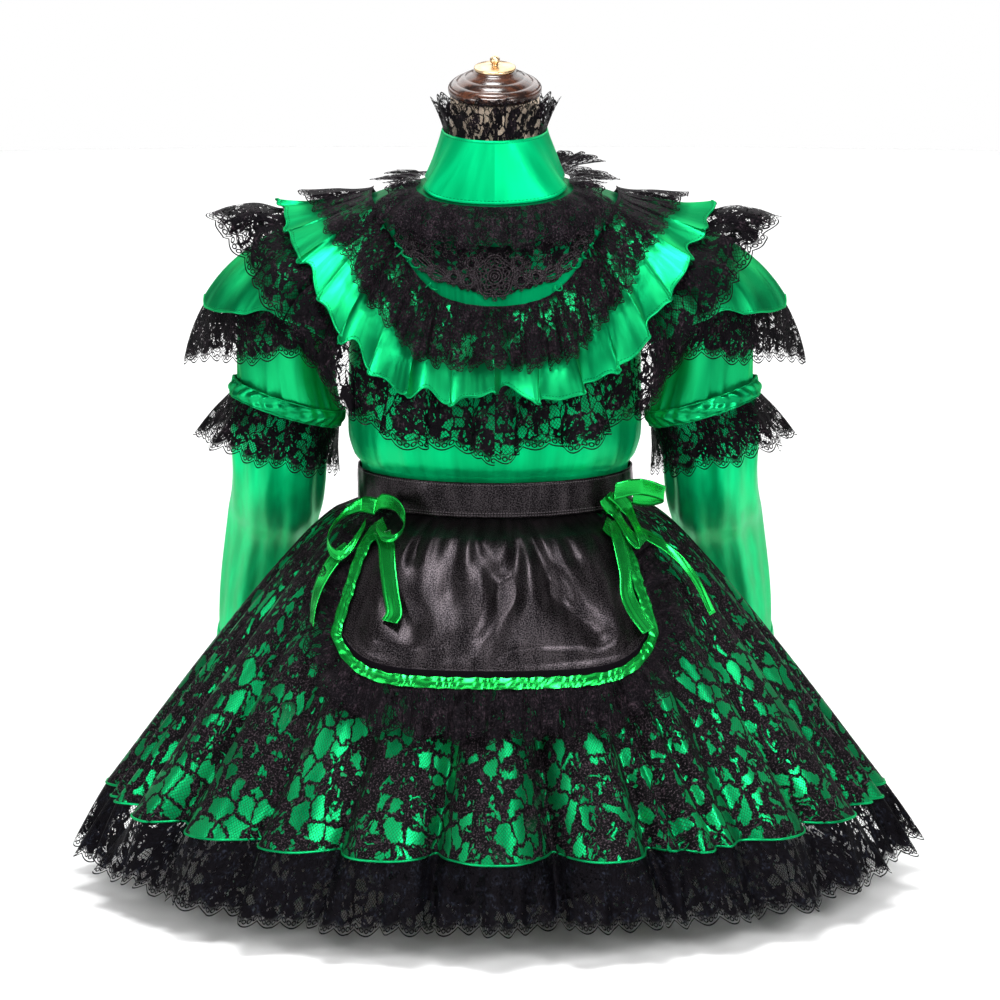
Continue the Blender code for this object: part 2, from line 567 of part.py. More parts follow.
def make_bertha():
    columns = BERTHA_WAVES * 4
    seam, top, satin, lace = bertha_ring(columns)
    turn = 2 * np.pi * np.arange(columns) / columns
    uneven = 1 + 0.25 * np.sin(3 * turn + 0.5)
    wave = np.cos(BERTHA_WAVES * turn) * uneven
    side_wave = np.cos(BERTHA_WAVES * turn + 0.5 * np.pi)
    base = np.array([three_point(seam, satin, lace, share)
                     for share in (0.0 * top, top * (1 + 0.05 * wave), 1 + 0.05 * side_wave,
                                   2 + 0.05 * wave)])
    layers = [
        dict(swing=(0.0, 0.0035, 0.0060, 0.0110), gap=(0.0004, 0.0012, 0.0012, 0.0012), wall=LACE,
             wave=wave),
        dict(swing=(0.0, 0.0030, 0.0066), gap=(SEAM, 0.0014, 0.0026), wall=SATIN, wave=side_wave),
        dict(swing=(0.0, 0.0045), gap=(SEAM, 0.0016), wall=LACE, wave=wave),
    ]
    walls = ruffled(base, True, layers)
    for (inner, outer), name, finish in zip(
            walls, ("bertha_lace", "bertha_satin", "bertha_top_lace"),
            ("black_lace", "green_satin", "black_lace")):
        cloth(name, inner, outer, True, finish)


# Sleeves
def armhole(angle, grow=0.0, lift=0.0):
    """Seam round the armhole, 0 at the shoulder and positive to the front."""
    turn = math.radians(90) - np.sin(angle) * math.radians(39 + 100 * grow)
    height = 0.7345 + (0.0715 + grow) * np.cos(angle)
    away = 0.0036 + 0.0044 * (1 - np.cos(angle)) / 2 + lift
    return body(turn, height, away)


def ring_at(row, angle, grow=0.0, y=0.0):
    lean = math.radians(row["lean"])
    up = np.array([math.sin(lean), 0, math.cos(lean)])
    front = np.array([0, -1, 0])
    tall, deep = row["tall"] + grow, row["deep"] + grow
    return (np.array([row["x"], y, row["z"]]) + np.outer(np.cos(angle) * tall, up)
            + np.outer(np.sin(angle) * deep, front))


def mirrored(grid, side):
    return grid * np.array([side, 1, 1])


def band_axis():
    lean = math.radians(BAND_LEAN)
    return np.array([math.cos(lean), 0, -math.sin(lean)])


def band_ring(place, angle, grow):
    """Ring round the sleeve band's axis, smaller or larger than the band's outside."""
    middle = np.array(BAND_MIDDLE) + band_axis() * place
    row = dict(x=middle[0], z=middle[2], lean=BAND_LEAN, tall=BAND["tall"], deep=BAND["deep"])
    return ring_at(row, angle, grow)


def make_puff(side, tag):
    angles = even_angles(17, 0, 360)[:-1]
    tuck = -BAND["wall"] - SEAM - 0.0005
    inner = [armhole(angles)] + [ring_at(row, angles, -SATIN) for row in PUFF]
    outer = [armhole(angles, SATIN)] + [ring_at(row, angles) for row in PUFF]
    for place in (-BAND["half"] - 0.002, -0.0002):
        inner.append(band_ring(place, angles, tuck - SATIN))
        outer.append(band_ring(place, angles, tuck))
    cloth("puff_" + tag, mirrored(np.array(inner), side), mirrored(np.array(outer), side), True,
          "green_satin")
    inner = [band_ring(place, angles, -BAND["wall"]) for place in (-BAND["half"], BAND["half"])]
    outer = [band_ring(place, angles, 0.0) for place in (-BAND["half"], BAND["half"])]
    cloth("puff_band_" + tag, mirrored(np.array(inner), side), mirrored(np.array(outer), side), True,
          "green_satin")
    angles = even_angles(FRILL_WAVES * 4 + 1, 0, 360)[:-1]
    inward = 0.35 + 0.65 * (1 + np.cos(angles)) / 2
    inner, outer = [], []
    for row in FRILL:
        swing = row["swing"] * np.cos(angles * FRILL_WAVES) * inward
        out = ring_at(row, angles, 0.001) - ring_at(row, angles)
        out /= np.linalg.norm(out, axis=1, keepdims=True)
        inner.append(ring_at(row, angles) + out * (swing - LACE)[:, None])
        outer.append(ring_at(row, angles) + out * swing[:, None])
    cloth("puff_lace_" + tag, mirrored(np.array(inner), side), mirrored(np.array(outer), side), True,
          "black_lace")


def sleeve_ring(middle, along, wide, deep, angles):
    along = along / np.linalg.norm(along)
    across = np.array([1.0, 0, 0]) - along * along[0]
    across /= np.linalg.norm(across)
    other = np.cross(along, across)
    return middle + np.outer(np.cos(angles) * wide, across) + np.outer(np.sin(angles) * deep, other)


def make_sleeve(side, tag):
    angles = even_angles(13, 0, 360)[:-1]
    tuck = -BAND["wall"] - SEAM - 0.0020
    middle = np.array([[row["x"], row["y"], row["z"]] for row in SLEEVE])
    along = np.gradient(middle, axis=0)
    along[0] = along[0] / np.linalg.norm(along[0]) + band_axis()
    end = along[-1] / np.linalg.norm(along[-1])
    inner, outer = [], []
    for place in (0.0002, BAND["half"] + 0.001):
        start = np.array(BAND_MIDDLE) + band_axis() * place
        for grow, rows in ((tuck - SATIN, inner), (tuck, outer)):
            rows.append(sleeve_ring(start, band_axis(), BAND["tall"] + grow, BAND["deep"] + grow, angles))
    for i, row in enumerate(SLEEVE):
        outer.append(sleeve_ring(middle[i], along[i], row["wide"], row["deep"], angles))
        inner.append(sleeve_ring(middle[i], along[i], row["wide"] - SATIN, row["deep"] - SATIN, angles))
    cloth("sleeve_" + tag, mirrored(np.array(inner), side), mirrored(np.array(outer), side), True,
          "green_satin")
    last = SLEEVE[-1]
    inner, outer = [], []
    for far in (SEAM, CUFF_LENGTH):
        outer.append(sleeve_ring(middle[-1] + end * far, end, last["wide"] + 0.0006,
                                 last["deep"] + 0.0006, angles))
        inner.append(sleeve_ring(middle[-1] + end * far, end, last["wide"] - 0.0014,
                                 last["deep"] - 0.0014, angles))
    cloth("cuff_" + tag, mirrored(np.array(inner), side), mirrored(np.array(outer), side), True,
          "green_satin")


def make_cap(side, tag):
    columns = CAP_WAVES * 4 + 1
    places = np.linspace(0, len(CAP) - 1, columns)
    table = np.array([[row["angle"], *row["satin"], *row["lace"]] for row in CAP], float)
    read = spline(table, places)
    seam = armhole(np.radians(read[:, 0]), 0.004, 0.0006)
    wave = np.cos(2 * np.pi * CAP_WAVES * np.linspace(0, 1, columns))
    base = np.array([three_point(seam, read[:, 1:4], read[:, 4:7], share + 0 * wave)
                     for share in (0.0, 0.5, 1.0 - 0.04 * wave, 2.0 + 0.05 * wave)])
    base = base[:, ::-1]
    layers = [
        dict(swing=(0.0, 0.0014, 0.0044, 0.0080), gap=(SEAM, 0.0004, 0.0004, 0.0004), wall=LACE, wave=wave),
        dict(swing=(0.0, 0.0010, 0.0036), gap=(SEAM, 0.0006, 0.0020), wall=SATIN, wave=-wave),
    ]
    walls = ruffled(base, False, layers)
    for (inner, outer), name, finish in zip(walls, ("cap_lace_", "cap_satin_"),
                                            ("black_lace", "green_satin")):
        cloth(name + tag, mirrored(inner, side), mirrored(outer, side), False, finish)


# Skirt and its hem lace
skirt_smooth = smooth_curve(SKIRT, "z", "side")
skirt_swing = smooth_curve(SKIRT, "z", "swing")


def skirt_side(z):
    """Mean half width, never inside the straight lines between the table's rows."""
    rows = SKIRT[::-1]
    straight = np.interp(z, [row["z"] for row in rows], [row["side"] for row in rows])
    return np.maximum(skirt_smooth(z), straight)


def fold_angle(turn):
    """Columns drift a little, so that no two folds are alike; seams stay at the sides."""
    return turn + 0.045 * np.sin(2 * turn) + 0.012 * np.sin(6 * turn)


def fold_size(turn):
    return 1 + 0.22 * np.sin(5 * turn + 0.7) + 0.10 * np.sin(11 * turn)


def skirt_fold(turn):
    return np.cos(SKIRT_FOLDS * turn) * fold_size(turn)


def on_skirt(angle, z, beyond):
    """Point of the skirt's mean surface, moved out."""
    side = skirt_side(z) + beyond
    deep = SKIRT_RATIO * skirt_side(z) + beyond
    return np.stack([side * np.sin(angle), -deep * np.cos(angle), np.broadcast_to(z, angle.shape)], axis=-1)


def make_skirt():
    levels = [row["z"] for row in SKIRT]
    for name, first in (("skirt_front", -24), ("skirt_back", 24)):
        turn = 2 * np.pi * np.arange(first, first + 49) / 96
        angle = fold_angle(turn)
        inner, outer = [], []
        for z in levels:
            slope = (skirt_side(z - 0.004) - skirt_side(z + 0.004)) / 0.008
            wall = SATIN * math.sqrt(1 + min(float(slope), 2.2) ** 2)
            fold = skirt_swing(z) * skirt_fold(turn)
            outer.append(on_skirt(angle, z, fold))
            inner.append(on_skirt(angle, z, fold - wall))
        inner, outer = np.array(inner), np.array(outer)
        toward = 1 if name == "skirt_front" else -1
        inner[:, [0, -1], 1] -= toward * 0.00015
        outer[:, [0, -1], 1] -= toward * 0.00015
        cloth(name, inner, outer, False, "green_satin")

        columns = HEM_WAVES * 2
        share = np.linspace(0, 1, columns + 1)
        start = np.pi * (-0.5 if first < 0 else 0.5)
        span = start + np.pi * share
        known = fold_size(turn) * np.cos(SKIRT_FOLDS * turn)
        top_fold = skirt_swing(SKIRT_HEM) * np.interp(span, angle, known)
        wave = np.cos(HEM_WAVES / 2 * 2 * np.pi * share) * (1 + 0.25 * np.sin(9 * span))
        grow = 0.0395 + 0.0105 * wave + 0.35 * top_fold
        low = on_skirt(span, SKIRT_HEM, grow)
        low[:, 2] = LACE_HEM + 0.004 * np.sin(5 * span + 1.0)
        top = on_skirt(span, SKIRT_HEM, top_fold)
        top[:, 2] = SKIRT_HEM - 0.0005
        low_in = on_skirt(span, SKIRT_HEM, grow - LACE)
        low_in[:, 2] = low[:, 2]
        top_in = on_skirt(span, SKIRT_HEM, top_fold - LACE)
        top_in[:, 2] = top[:, 2]
        inner, outer = np.array([top_in, low_in]), np.array([top, low])
        inner[:, [0, -1], 1] -= toward * 0.00015
        outer[:, [0, -1], 1] -= toward * 0.00015
        cloth("hem_lace_" + name[6:], inner, outer, False, "black_lace")


def make_waistband():
    angles = even_angles(33, 0, 360)[:-1]
    inner, outer = [], []
    for z, extra in ((WAIST_TOP, 0.0006), (WAIST_BOTTOM, 0.0004)):
        for wall, rows in ((0.0, inner), (0.0022, outer)):
            grow = extra + wall
            rows.append(np.stack([(0.1616 + grow) * np.sin(angles), -(0.1322 + grow) * np.cos(angles),
                                  np.full(len(angles), z)], axis=-1))
    cloth("waistband", np.array(inner), np.array(outer), True, "black_satin")


# Apron, its ribbon and its lace, in front view laid on the skirt
apron_wide = smooth_curve(APRON, "z", "wide")


def apron_lift(z):
    """Height of the apron over the skirt's mean surface, clear of every fold."""
    return 1.34 * skirt_swing(z) + 0.0012 + 0.0022 * np.clip((0.462 - z) / 0.02, 0, 1)


def steep_rise(z):
    """Extra height for what lies over the apron's upper corners, where the skirt turns over."""
    return 0.0030 * np.clip((z - 0.415) / 0.030, 0, 1)


def front_point(x, z, lift):
    """Point over the skirt or the waistband at a place in front view. Past four fifths of the
    width the front no longer curves away."""
    z_read = np.minimum(z, 0.4655)
    side = skirt_side(z_read) + lift
    deep = SKIRT_RATIO * skirt_side(z_read) + lift
    share = np.clip(x / side, -0.86, 0.86)
    return np.stack([x, -deep * np.sqrt(1 - share ** 2), np.broadcast_to(z, np.shape(x))], axis=-1)


def apron_place(across, down):
    bottom = APRON_BOTTOM + APRON_CORNER * np.abs(across) ** 7
    z = APRON[0]["z"] + (bottom - APRON[0]["z"]) * down
    return across * apron_wide(z), z


def apron_outline(places):
    """Place on the apron's edge, 0 at the waist on the left to 1 at the waist on the right."""
    steps = np.linspace(0, 1, 60)
    left = [apron_place(np.float64(-1), s) for s in steps]
    low = [apron_place(a, 1.0) for a in np.linspace(-1, 1, 160)[1:-1]]
    right = [apron_place(np.float64(1), s) for s in steps[::-1]]
    line = np.array(left + low + right, float)
    length = np.concatenate([[0], np.cumsum(np.linalg.norm(np.diff(line, axis=0), axis=1))])
    at = np.asarray(places) * length[-1]
    point = np.stack([np.interp(at, length, line[:, i]) for i in range(2)], axis=-1)
    before = np.stack([np.interp(at - 0.012, length, line[:, i]) for i in range(2)], axis=-1)
    after = np.stack([np.interp(at + 0.012, length, line[:, i]) for i in range(2)], axis=-1)
    way = after - before
    way /= np.linalg.norm(way, axis=1, keepdims=True)
    return point, np.stack([way[:, 1], -way[:, 0]], axis=-1)


def make_apron():
    across = np.linspace(-1, 1, 19)
    inner, outer = [], []
    for level in APRON_LEVELS:
        down = (APRON_LEVELS[0] - level) / (APRON_LEVELS[0] - APRON_LEVELS[-1])
        x, z = apron_place(across, down)
        inner.append(front_point(x, z, apron_lift(z)))
        outer.append(front_point(x, z, apron_lift(z) + SATIN))
    cloth("apron", np.array(inner), np.array(outer), False, "black_satin")

    places = np.linspace(0.02, 0.98, 35)
    point, out = apron_outline(places)
    inner, outer = [], []
    for offset in (-RIBBON_WIDTH * 0.55, RIBBON_WIDTH * 0.45):
        at = point + out * offset
        at[:, 1] = np.minimum(at[:, 1], APRON[0]["z"])
        lift = apron_lift(at[:, 1]) + SATIN + LACE + 0.0030 + steep_rise(at[:, 1])
        inner.append(front_point(at[:, 0], at[:, 1], lift))
        outer.append(front_point(at[:, 0], at[:, 1], lift + 0.0016))
    cloth("apron_ribbon", np.array(inner), np.array(outer), False, "ribbon_green")

    columns = APRON_WAVES * 4 + 1
    places = np.linspace(0.012, 0.988, columns)
    point, out = apron_outline(places)
    reach = smooth_curve(APRON_LACE, "place", "reach")(np.minimum(places, 1 - places))
    wave = np.cos(2 * np.pi * APRON_WAVES * np.linspace(0, 1, columns))
    inner, outer = [], []
    for share, swing in ((0.0, 0.0), (0.45, 0.0022), (1.0, 0.0052)):
        at = point + out * ((0.004 + reach[:, None]) * share - 0.004)
        at[:, 1] = np.minimum(at[:, 1], APRON[0]["z"] - 0.0008)
        lift = apron_lift(at[:, 1]) + SATIN + 0.0008 + swing * (1 + wave)
        inner.append(front_point(at[:, 0], at[:, 1], lift))
        outer.append(front_point(at[:, 0], at[:, 1], lift + LACE))
    cloth("apron_lace", np.array(inner), np.array(outer), False, "black_lace")


def over_trim(x, z, height):
    """Point at a height over the apron's trim."""
    return front_point(x, z, apron_lift(z) + SATIN + LACE + 0.0046 + height + steep_rise(z))


def make_bow_piece(name, rows, across):
    """Ribbon along a path over the apron's corner. A row's height is its lower edge's over the
    trim, and its last value tips the ribbon up from the cloth, in degrees."""
    table = np.array(rows)
    count = (len(rows) - 1) * (4 if "tail" in name else 5) // 3 + 1
    read = spline(table, np.linspace(0, len(rows) - 1, count))
    x, z = read[:, 0], read[:, 1]
    half = BOW_WIDTH / 2
    tip = np.radians(read[:, 3])
    height = read[:, 2] + half * np.sin(tip)
    line = over_trim(x, z, height)
    way = np.gradient(line, axis=0)
    way /= np.linalg.norm(way, axis=1, keepdims=True)
    share = np.linspace(0, 1, count)[:, None]
    flat = np.array(across[0]) * (1 - share) + np.array(across[1]) * share
    flat *= half / np.linalg.norm(flat, axis=1, keepdims=True)
    right, left = np.array([x, z]) + flat.T, np.array([x, z]) - flat.T
    width = over_trim(right[0], right[1], height) - over_trim(left[0], left[1], height)
    width /= np.linalg.norm(width, axis=1, keepdims=True)
    width = (width * np.cos(tip)[:, None] + np.outer(np.sin(tip), (0, -1, 0))) * half
    thick = np.cross(width, way)
    thick = thick / np.linalg.norm(thick, axis=1, keepdims=True) * 0.0007
    inner = np.array([line - width - thick, line + width - thick])
    outer = np.array([line - width + thick, line + width + thick])
    cloth(name, inner, outer, False, "ribbon_green")


# Open lace applique on the yoke front
def on_yoke(x, z, lift):
    turn = np.arcsin(np.clip(x / body_side(z), -0.99, 0.99))
    return body(turn, z, EASE + SATIN + lift)


def applique_band(name, line, half, high, closed):
    """Flat cord along a line in front view, laid on the yoke."""
    line = np.asarray(line, float)
    if closed:
        way = np.roll(line, -1, axis=0) - np.roll(line, 1, axis=0)
    else:
        way = np.gradient(line, axis=0)
    way /= np.linalg.norm(way, axis=1, keepdims=True)
    out = np.stack([way[:, 1], -way[:, 0]], axis=-1)
    half = np.broadcast_to(np.asarray(half, float), len(line))[:, None]
    grids = []
    for lift in (0.0007, high):
        rows = [line - out * half, line + out * half]
        grids.append(np.array([on_yoke(row[:, 0], row[:, 1], lift) for row in rows]))
    return cloth(name, grids[0], grids[1], closed, "black_lace")


def circle(x, z, radius, count, lobes=0, depth=0.0):
    turn = np.linspace(0, 2 * np.pi, count + 1)[:-1]
    reach = radius + depth * np.cos(lobes * turn)
    return np.stack([x + reach * np.sin(turn), z + reach * np.cos(turn)], axis=-1)


def make_applique():
    parts = [
        applique_band("yoke_applique", circle(ROSE["x"], ROSE["z"], ROSE["outer"], 15, 5, 0.0014),
                      ROSE["cord"] / 2, 0.0024, True),
        applique_band("rose_heart", circle(ROSE["x"], ROSE["z"], ROSE["inner"], 8), 0.0015, 0.0021, True),
    ]
    for i in range(5):
        turn = 2 * np.pi * (i + 0.2) / 5
        way = np.array([np.sin(turn), np.cos(turn)])
        line = [np.array([ROSE["x"], ROSE["z"]]) + way * r for r in (0.0088, 0.0222)]
        parts.append(applique_band("petal_%d" % i, line, (0.0012, 0.0022), 0.0018, False))
    for side in (-1, 1):
        for i, row in enumerate(RINGS):
            parts.append(applique_band("ring_%d_%d" % (i, side),
                                       circle(side * row["x"], row["z"], row["radius"], 8),
                                       0.0016, 0.0019 + 0.0001 * (i % 3), True))
        for i, row in enumerate(LEAVES):
            turn = math.radians(row["turn"])
            way = np.array([side * math.sin(turn), math.cos(turn)]) * row["long"]
            start = np.array([side * row["x"], row["z"]])
            line = [start + way * s for s in (0.0, 0.45, 1.0)]
            parts.append(applique_band("leaf_%d_%d" % (i, side), line,
                                       (0.0012, 0.0044, 0.0012), 0.0017, False))
    whole = parts[0]
    tools = bpy.data.collections.new("applique_pieces")
    for part in parts[1:]:
        bpy.context.scene.collection.objects.unlink(part)
        tools.objects.link(part)
        part.hide_render = True
        part.display_type = "WIRE"
    bpy.context.scene.collection.children.link(tools)
    union = whole.modifiers.new("Joined cords", "BOOLEAN")
    union.operation = "UNION"
    union.operand_type = "COLLECTION"
    union.collection = tools
    union.solver = "EXACT"


make_form()
make_stand()
make_collar()
make_neck_ruffle()
make_yoke()
make_bodice()
make_bertha()
for side, tag in ((1, "left"), (-1, "right")):
    make_puff(side, tag)
    make_sleeve(side, tag)
    make_cap(side, tag)
make_skirt()
make_waistband()
make_apron()
for bow, pieces in (("bow_right", BOW_LEFT), ("bow_left", BOW_RIGHT)):
    for piece, rows in pieces.items():
        make_bow_piece(bow + "_" + piece, rows, BOW_ACROSS[bow + "_" + piece])
make_applique()
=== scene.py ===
import json
import math

import bpy
import numpy as np
from mathutils import Matrix, Vector

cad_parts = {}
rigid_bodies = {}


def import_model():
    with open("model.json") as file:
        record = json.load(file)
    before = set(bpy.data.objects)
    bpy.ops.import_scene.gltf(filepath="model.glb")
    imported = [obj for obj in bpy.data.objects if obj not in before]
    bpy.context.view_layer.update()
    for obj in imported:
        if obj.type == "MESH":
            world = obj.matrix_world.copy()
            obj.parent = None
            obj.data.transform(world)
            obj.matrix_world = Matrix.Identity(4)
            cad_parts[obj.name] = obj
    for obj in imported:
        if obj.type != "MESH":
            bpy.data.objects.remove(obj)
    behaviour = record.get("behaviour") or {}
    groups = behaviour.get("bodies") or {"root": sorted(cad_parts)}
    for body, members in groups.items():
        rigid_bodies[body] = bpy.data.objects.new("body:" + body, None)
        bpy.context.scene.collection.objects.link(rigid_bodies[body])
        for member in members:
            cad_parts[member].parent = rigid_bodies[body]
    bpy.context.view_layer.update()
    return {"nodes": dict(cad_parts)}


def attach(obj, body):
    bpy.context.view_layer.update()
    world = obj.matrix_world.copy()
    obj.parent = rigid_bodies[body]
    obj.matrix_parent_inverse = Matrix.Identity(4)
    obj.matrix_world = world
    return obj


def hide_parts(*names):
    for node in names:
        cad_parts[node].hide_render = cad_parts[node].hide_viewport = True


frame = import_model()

scene = bpy.context.scene
tau = 2 * math.pi
print("maid dress: frame loaded,", len(frame["nodes"]), "nodes")


# A table's rows as dictionaries, and the same for rows that have names
def table(columns, *rows):
    return [dict(zip(columns.split(), row)) for row in rows]


def looks(columns, **rows):
    return dict(zip(rows, table(columns, *rows.values())))


# Studio: camera as in the photograph, soft lights, pale floor
studio = {
    "target": (0.006, 0.0, 0.4625), "distance": 5.0, "elevation": 10.5, "lens": 150.0,
    "skyLow": 1.0, "skyHigh": 0.09, "floorTone": 0.95, "floorRadius": 9.0,
}
softBoxes = looks(
    "place power width height aim",
    keyBox=((1.7, -2.6, 2.0), 84.0, 1.0, 1.2, (0, 0, 0.5)),
    sideBox=((-2.4, -1.9, 1.3), 38.0, 0.6, 1.8, (0, 0, 0.5)),
    topBox=((-0.2, -0.8, 3.0), 62.0, 1.1, 0.9, (0, 0, 0.5)),
    frontBox=((-0.6, -3.6, 1.6), 26.0, 0.5, 1.0, (0, 0, 0.5)),
    farBox=((0.0, 5.5, 4.2), 620.0, 11.0, 8.0, (0, 5.5, 0)),
)


def addObject(name, data):
    made = bpy.data.objects.new(name, data)
    scene.collection.objects.link(made)
    return made


def makeCamera():
    tilt = math.radians(studio["elevation"])
    data = bpy.data.cameras.new("photoCamera")
    data.lens = studio["lens"]
    data.sensor_width = 36.0
    data.clip_end = 100.0
    camera = addObject("photoCamera", data)
    back = Vector((0, -math.cos(tilt), math.sin(tilt)))
    camera.location = Vector(studio["target"]) + back * studio["distance"]
    camera.rotation_euler = (math.radians(90) - tilt, 0, 0)
    scene.camera = camera


def makeLights():
    for name, box in softBoxes.items():
        data = bpy.data.lights.new(name, "AREA")
        data.shape = "RECTANGLE"
        data.size, data.size_y = box["width"], box["height"]
        data.energy = box["power"]
        light = addObject(name, data)
        light.location = box["place"]
        aim = Vector(box["aim"]) - Vector(box["place"])
        light.rotation_euler = aim.to_track_quat("-Z", "Y").to_euler()


def makeWorld():
    # white below the horizon, where the picture looks past the floor, and dimmer above it
    world = bpy.data.worlds.new("studioWorld")
    world.use_nodes = True
    tree = world.node_tree
    way = tree.nodes.new("ShaderNodeTexCoord")
    split = tree.nodes.new("ShaderNodeSeparateXYZ")
    tone = tree.nodes.new("ShaderNodeMapRange")
    tree.links.new(way.outputs["Generated"], split.inputs[0])
    tree.links.new(split.outputs[2], tone.inputs[0])
    for place, value in ((1, 0.0), (2, 0.12), (3, studio["skyLow"]), (4, studio["skyHigh"])):
        tone.inputs[place].default_value = value
    sky = tree.nodes["Background"]
    sky.inputs["Color"].default_value = (1, 1, 1, 1)
    tree.links.new(tone.outputs[0], sky.inputs["Strength"])
    scene.world = world
    scene.view_settings.view_transform = "Standard"
    scene.view_settings.look = "None"


def makeFloor():
    radius, below = studio["floorRadius"], -0.0002
    ring = np.radians(np.arange(0, 360, 5))
    data = bpy.data.meshes.new("paleFloor")
    data.from_pydata([(radius * math.cos(a), radius * math.sin(a), below) for a in ring], [],
                     [tuple(range(len(ring)))])
    floor = addObject("paleFloor", data)
    finish = bpy.data.materials.new("paleFloor")
    finish.use_nodes = True
    shader = finish.node_tree.nodes["Principled BSDF"]
    shader.inputs["Base Color"].default_value = (studio["floorTone"],) * 3 + (1,)
    shader.inputs["Roughness"].default_value = 0.9
    shader.inputs["Specular IOR Level"].default_value = 0.1
    data.materials.append(finish)


makeCamera()
makeLights()
makeWorld()
makeFloor()
print("studio ready")


# A wire is the value of a shader's socket. It adds and multiplies as a number does
class Wire:
    def __init__(self, socket):
        self.socket = socket

    def __add__(self, other):
        return calc("ADD", self, other)

    def __radd__(self, other):
        return calc("ADD", other, self)

    def __sub__(self, other):
        return calc("SUBTRACT", self, other)

    def __rsub__(self, other):
        return calc("SUBTRACT", other, self)

    def __mul__(self, other):
        return calc("MULTIPLY", self, other)

    def __rmul__(self, other):
        return calc("MULTIPLY", other, self)


finishes = {}
making = {}                       # the tree and the shader of the finish that is being made


def feed(node, inputs):
    for key, value in inputs.items():
        if isinstance(value, Wire):
            making["tree"].links.new(value.socket, node.inputs[key])
        else:
            node.inputs[key].default_value = value


def put(kind, inputs, *outs, **settings):
    # a new node, and a wire from each output that is asked for
    made = making["tree"].nodes.new("ShaderNode" + kind)
    for key, value in settings.items():
        setattr(made, key, value)
    feed(made, inputs)
    wires = [Wire(made.outputs[out]) for out in outs or (0,)]
    return wires if len(wires) > 1 else wires[0]


def calc(how, *values):
    return put("Math", dict(enumerate(values)), operation=how)


def biggest(first, *others):
    for other in others:
        first = calc("MAXIMUM", first, other)
    return first


def near(value, place, outer, inner):
    # 1 within the inner distance of a place, 0 past the outer one
    return ramp(calc("ABSOLUTE", value - place if place else value), outer, inner)


def vecCalc(how, a, b=None, scale=None):
    inputs = {key: value for key, value in ((0, a), (1, b), ("Scale", scale)) if value is not None}
    return put("VectorMath", inputs, "Value" if how == "LENGTH" else 0, operation=how)


def stretched(where, across, down, deep=1.0):
    return vecCalc("MULTIPLY", where, (across, down, deep))


def ramp(value, low, high, toLow=0.0, toHigh=1.0, smooth=True):
    return put("MapRange", {0: value, 1: low, 2: high, 3: toLow, 4: toHigh},
               interpolation_type="SMOOTHSTEP" if smooth else "LINEAR")


def blendColour(share, a, b):
    return put("Mix", {0: share, 6: a, 7: b}, 2, data_type="RGBA")


def blendValue(share, a, b):
    return put("Mix", {0: share, 2: a, 3: b}, data_type="FLOAT")


def shade(tones, tone=1.0):
    return tuple(tone * value for value in tones) + (1,)


def noise(where, size, detail=2.0, roughness=0.5, out="Fac", flat=True):
    inputs = {"Vector": where, "Scale": 1 / size, "Detail": detail, "Roughness": roughness}
    return put("TexNoise", inputs, out, noise_dimensions="2D" if flat else "3D")


def cells(where, size, randomness, *outs, feature="F1"):
    return put("TexVoronoi", {"Vector": where, "Scale": 1 / size, "Randomness": randomness}, *outs,
               voronoi_dimensions="2D", feature=feature)


def cellEdge(where, size, randomness):
    return cells(where, size, randomness, "Distance", feature="DISTANCE_TO_EDGE")


def cutMap():
    return put("UVMap", {}, uv_map="cut")


def cutParts():
    return put("SeparateXYZ", {0: cutMap()}, 0, 1)


def edgeMap():
    # metres from the seam, metres from the free edge
    return put("SeparateXYZ", {0: put("UVMap", {}, uv_map="edges")}, 0, 1)


def clothNoise(size, detail=2.0, roughness=0.5, run=None):
    return noise(stretched(cutMap(), *run) if run else cutMap(), size, detail, roughness)


def solidNoise(size, detail=2.0, roughness=0.5, run=None):
    where = put("TexCoord", {}, "Object")
    return noise(stretched(where, *run) if run else where, size, detail, roughness, flat=False)


def startFinish(name, constants):
    made = bpy.data.materials.new(name)
    made.use_nodes = True
    making["tree"] = made.node_tree
    making["shader"] = made.node_tree.nodes["Principled BSDF"]
    feed(making["shader"], constants)
    finishes[name] = made


def endFinish(inputs, height, distance, strength):
    bump = put("Bump", {"Height": height, "Distance": distance, "Strength": strength})
    feed(making["shader"], {**inputs, "Normal": bump})


# Satin: a tinted shine over a deep green or black, long soft streaks down the cloth, fine weave. On the
# green satins the streaks are painted sheen and painted shade
satinLooks = looks(
    "deep bright tint roughness metallic streak wide",
    green=((0.001, 0.20, 0.062), (0.006, 0.44, 0.136), (0.10, 1.0, 0.50), 0.37, 0.84, 0.12, 0.008),
    # the sleeve, bodice and collar rows are lighter, less metallic copies of the green satin: painted light
    # on these upright pieces
    sleeve=((0.0, 0.40, 0.124), (0.0, 0.64, 0.215), (0.05, 1.0, 0.50), 0.36, 0.50, 0.70, 0.014),
    bodice=((0.0, 0.30, 0.090), (0.0, 0.50, 0.160), (0.05, 1.0, 0.50), 0.33, 0.60, 0.30, 0.012),
    collar=((0.0, 0.34, 0.110), (0.0, 0.50, 0.170), (0.05, 1.0, 0.50), 0.36, 0.50, 0.20, 0.012),
    yoke=((0.0, 0.085, 0.026), (0.0, 0.140, 0.044), (0.0, 0.8, 0.4), 0.50, 0.40, 0.40, 0.005),
    ribbon=((0.006, 0.33, 0.042), (0.014, 0.50, 0.074), (0.35, 1.0, 0.50), 0.25, 0.84, 0.12, 0.004),
    black=((0.0040, 0.0036, 0.0044), (0.0680, 0.0585, 0.0640), (1.0, 0.88, 0.94), 0.34, 0.90),
)
satinWork = {"weave": 0.0006, "streakLength": 0.10, "stitchColour": (0.150, 0.130, 0.140)}


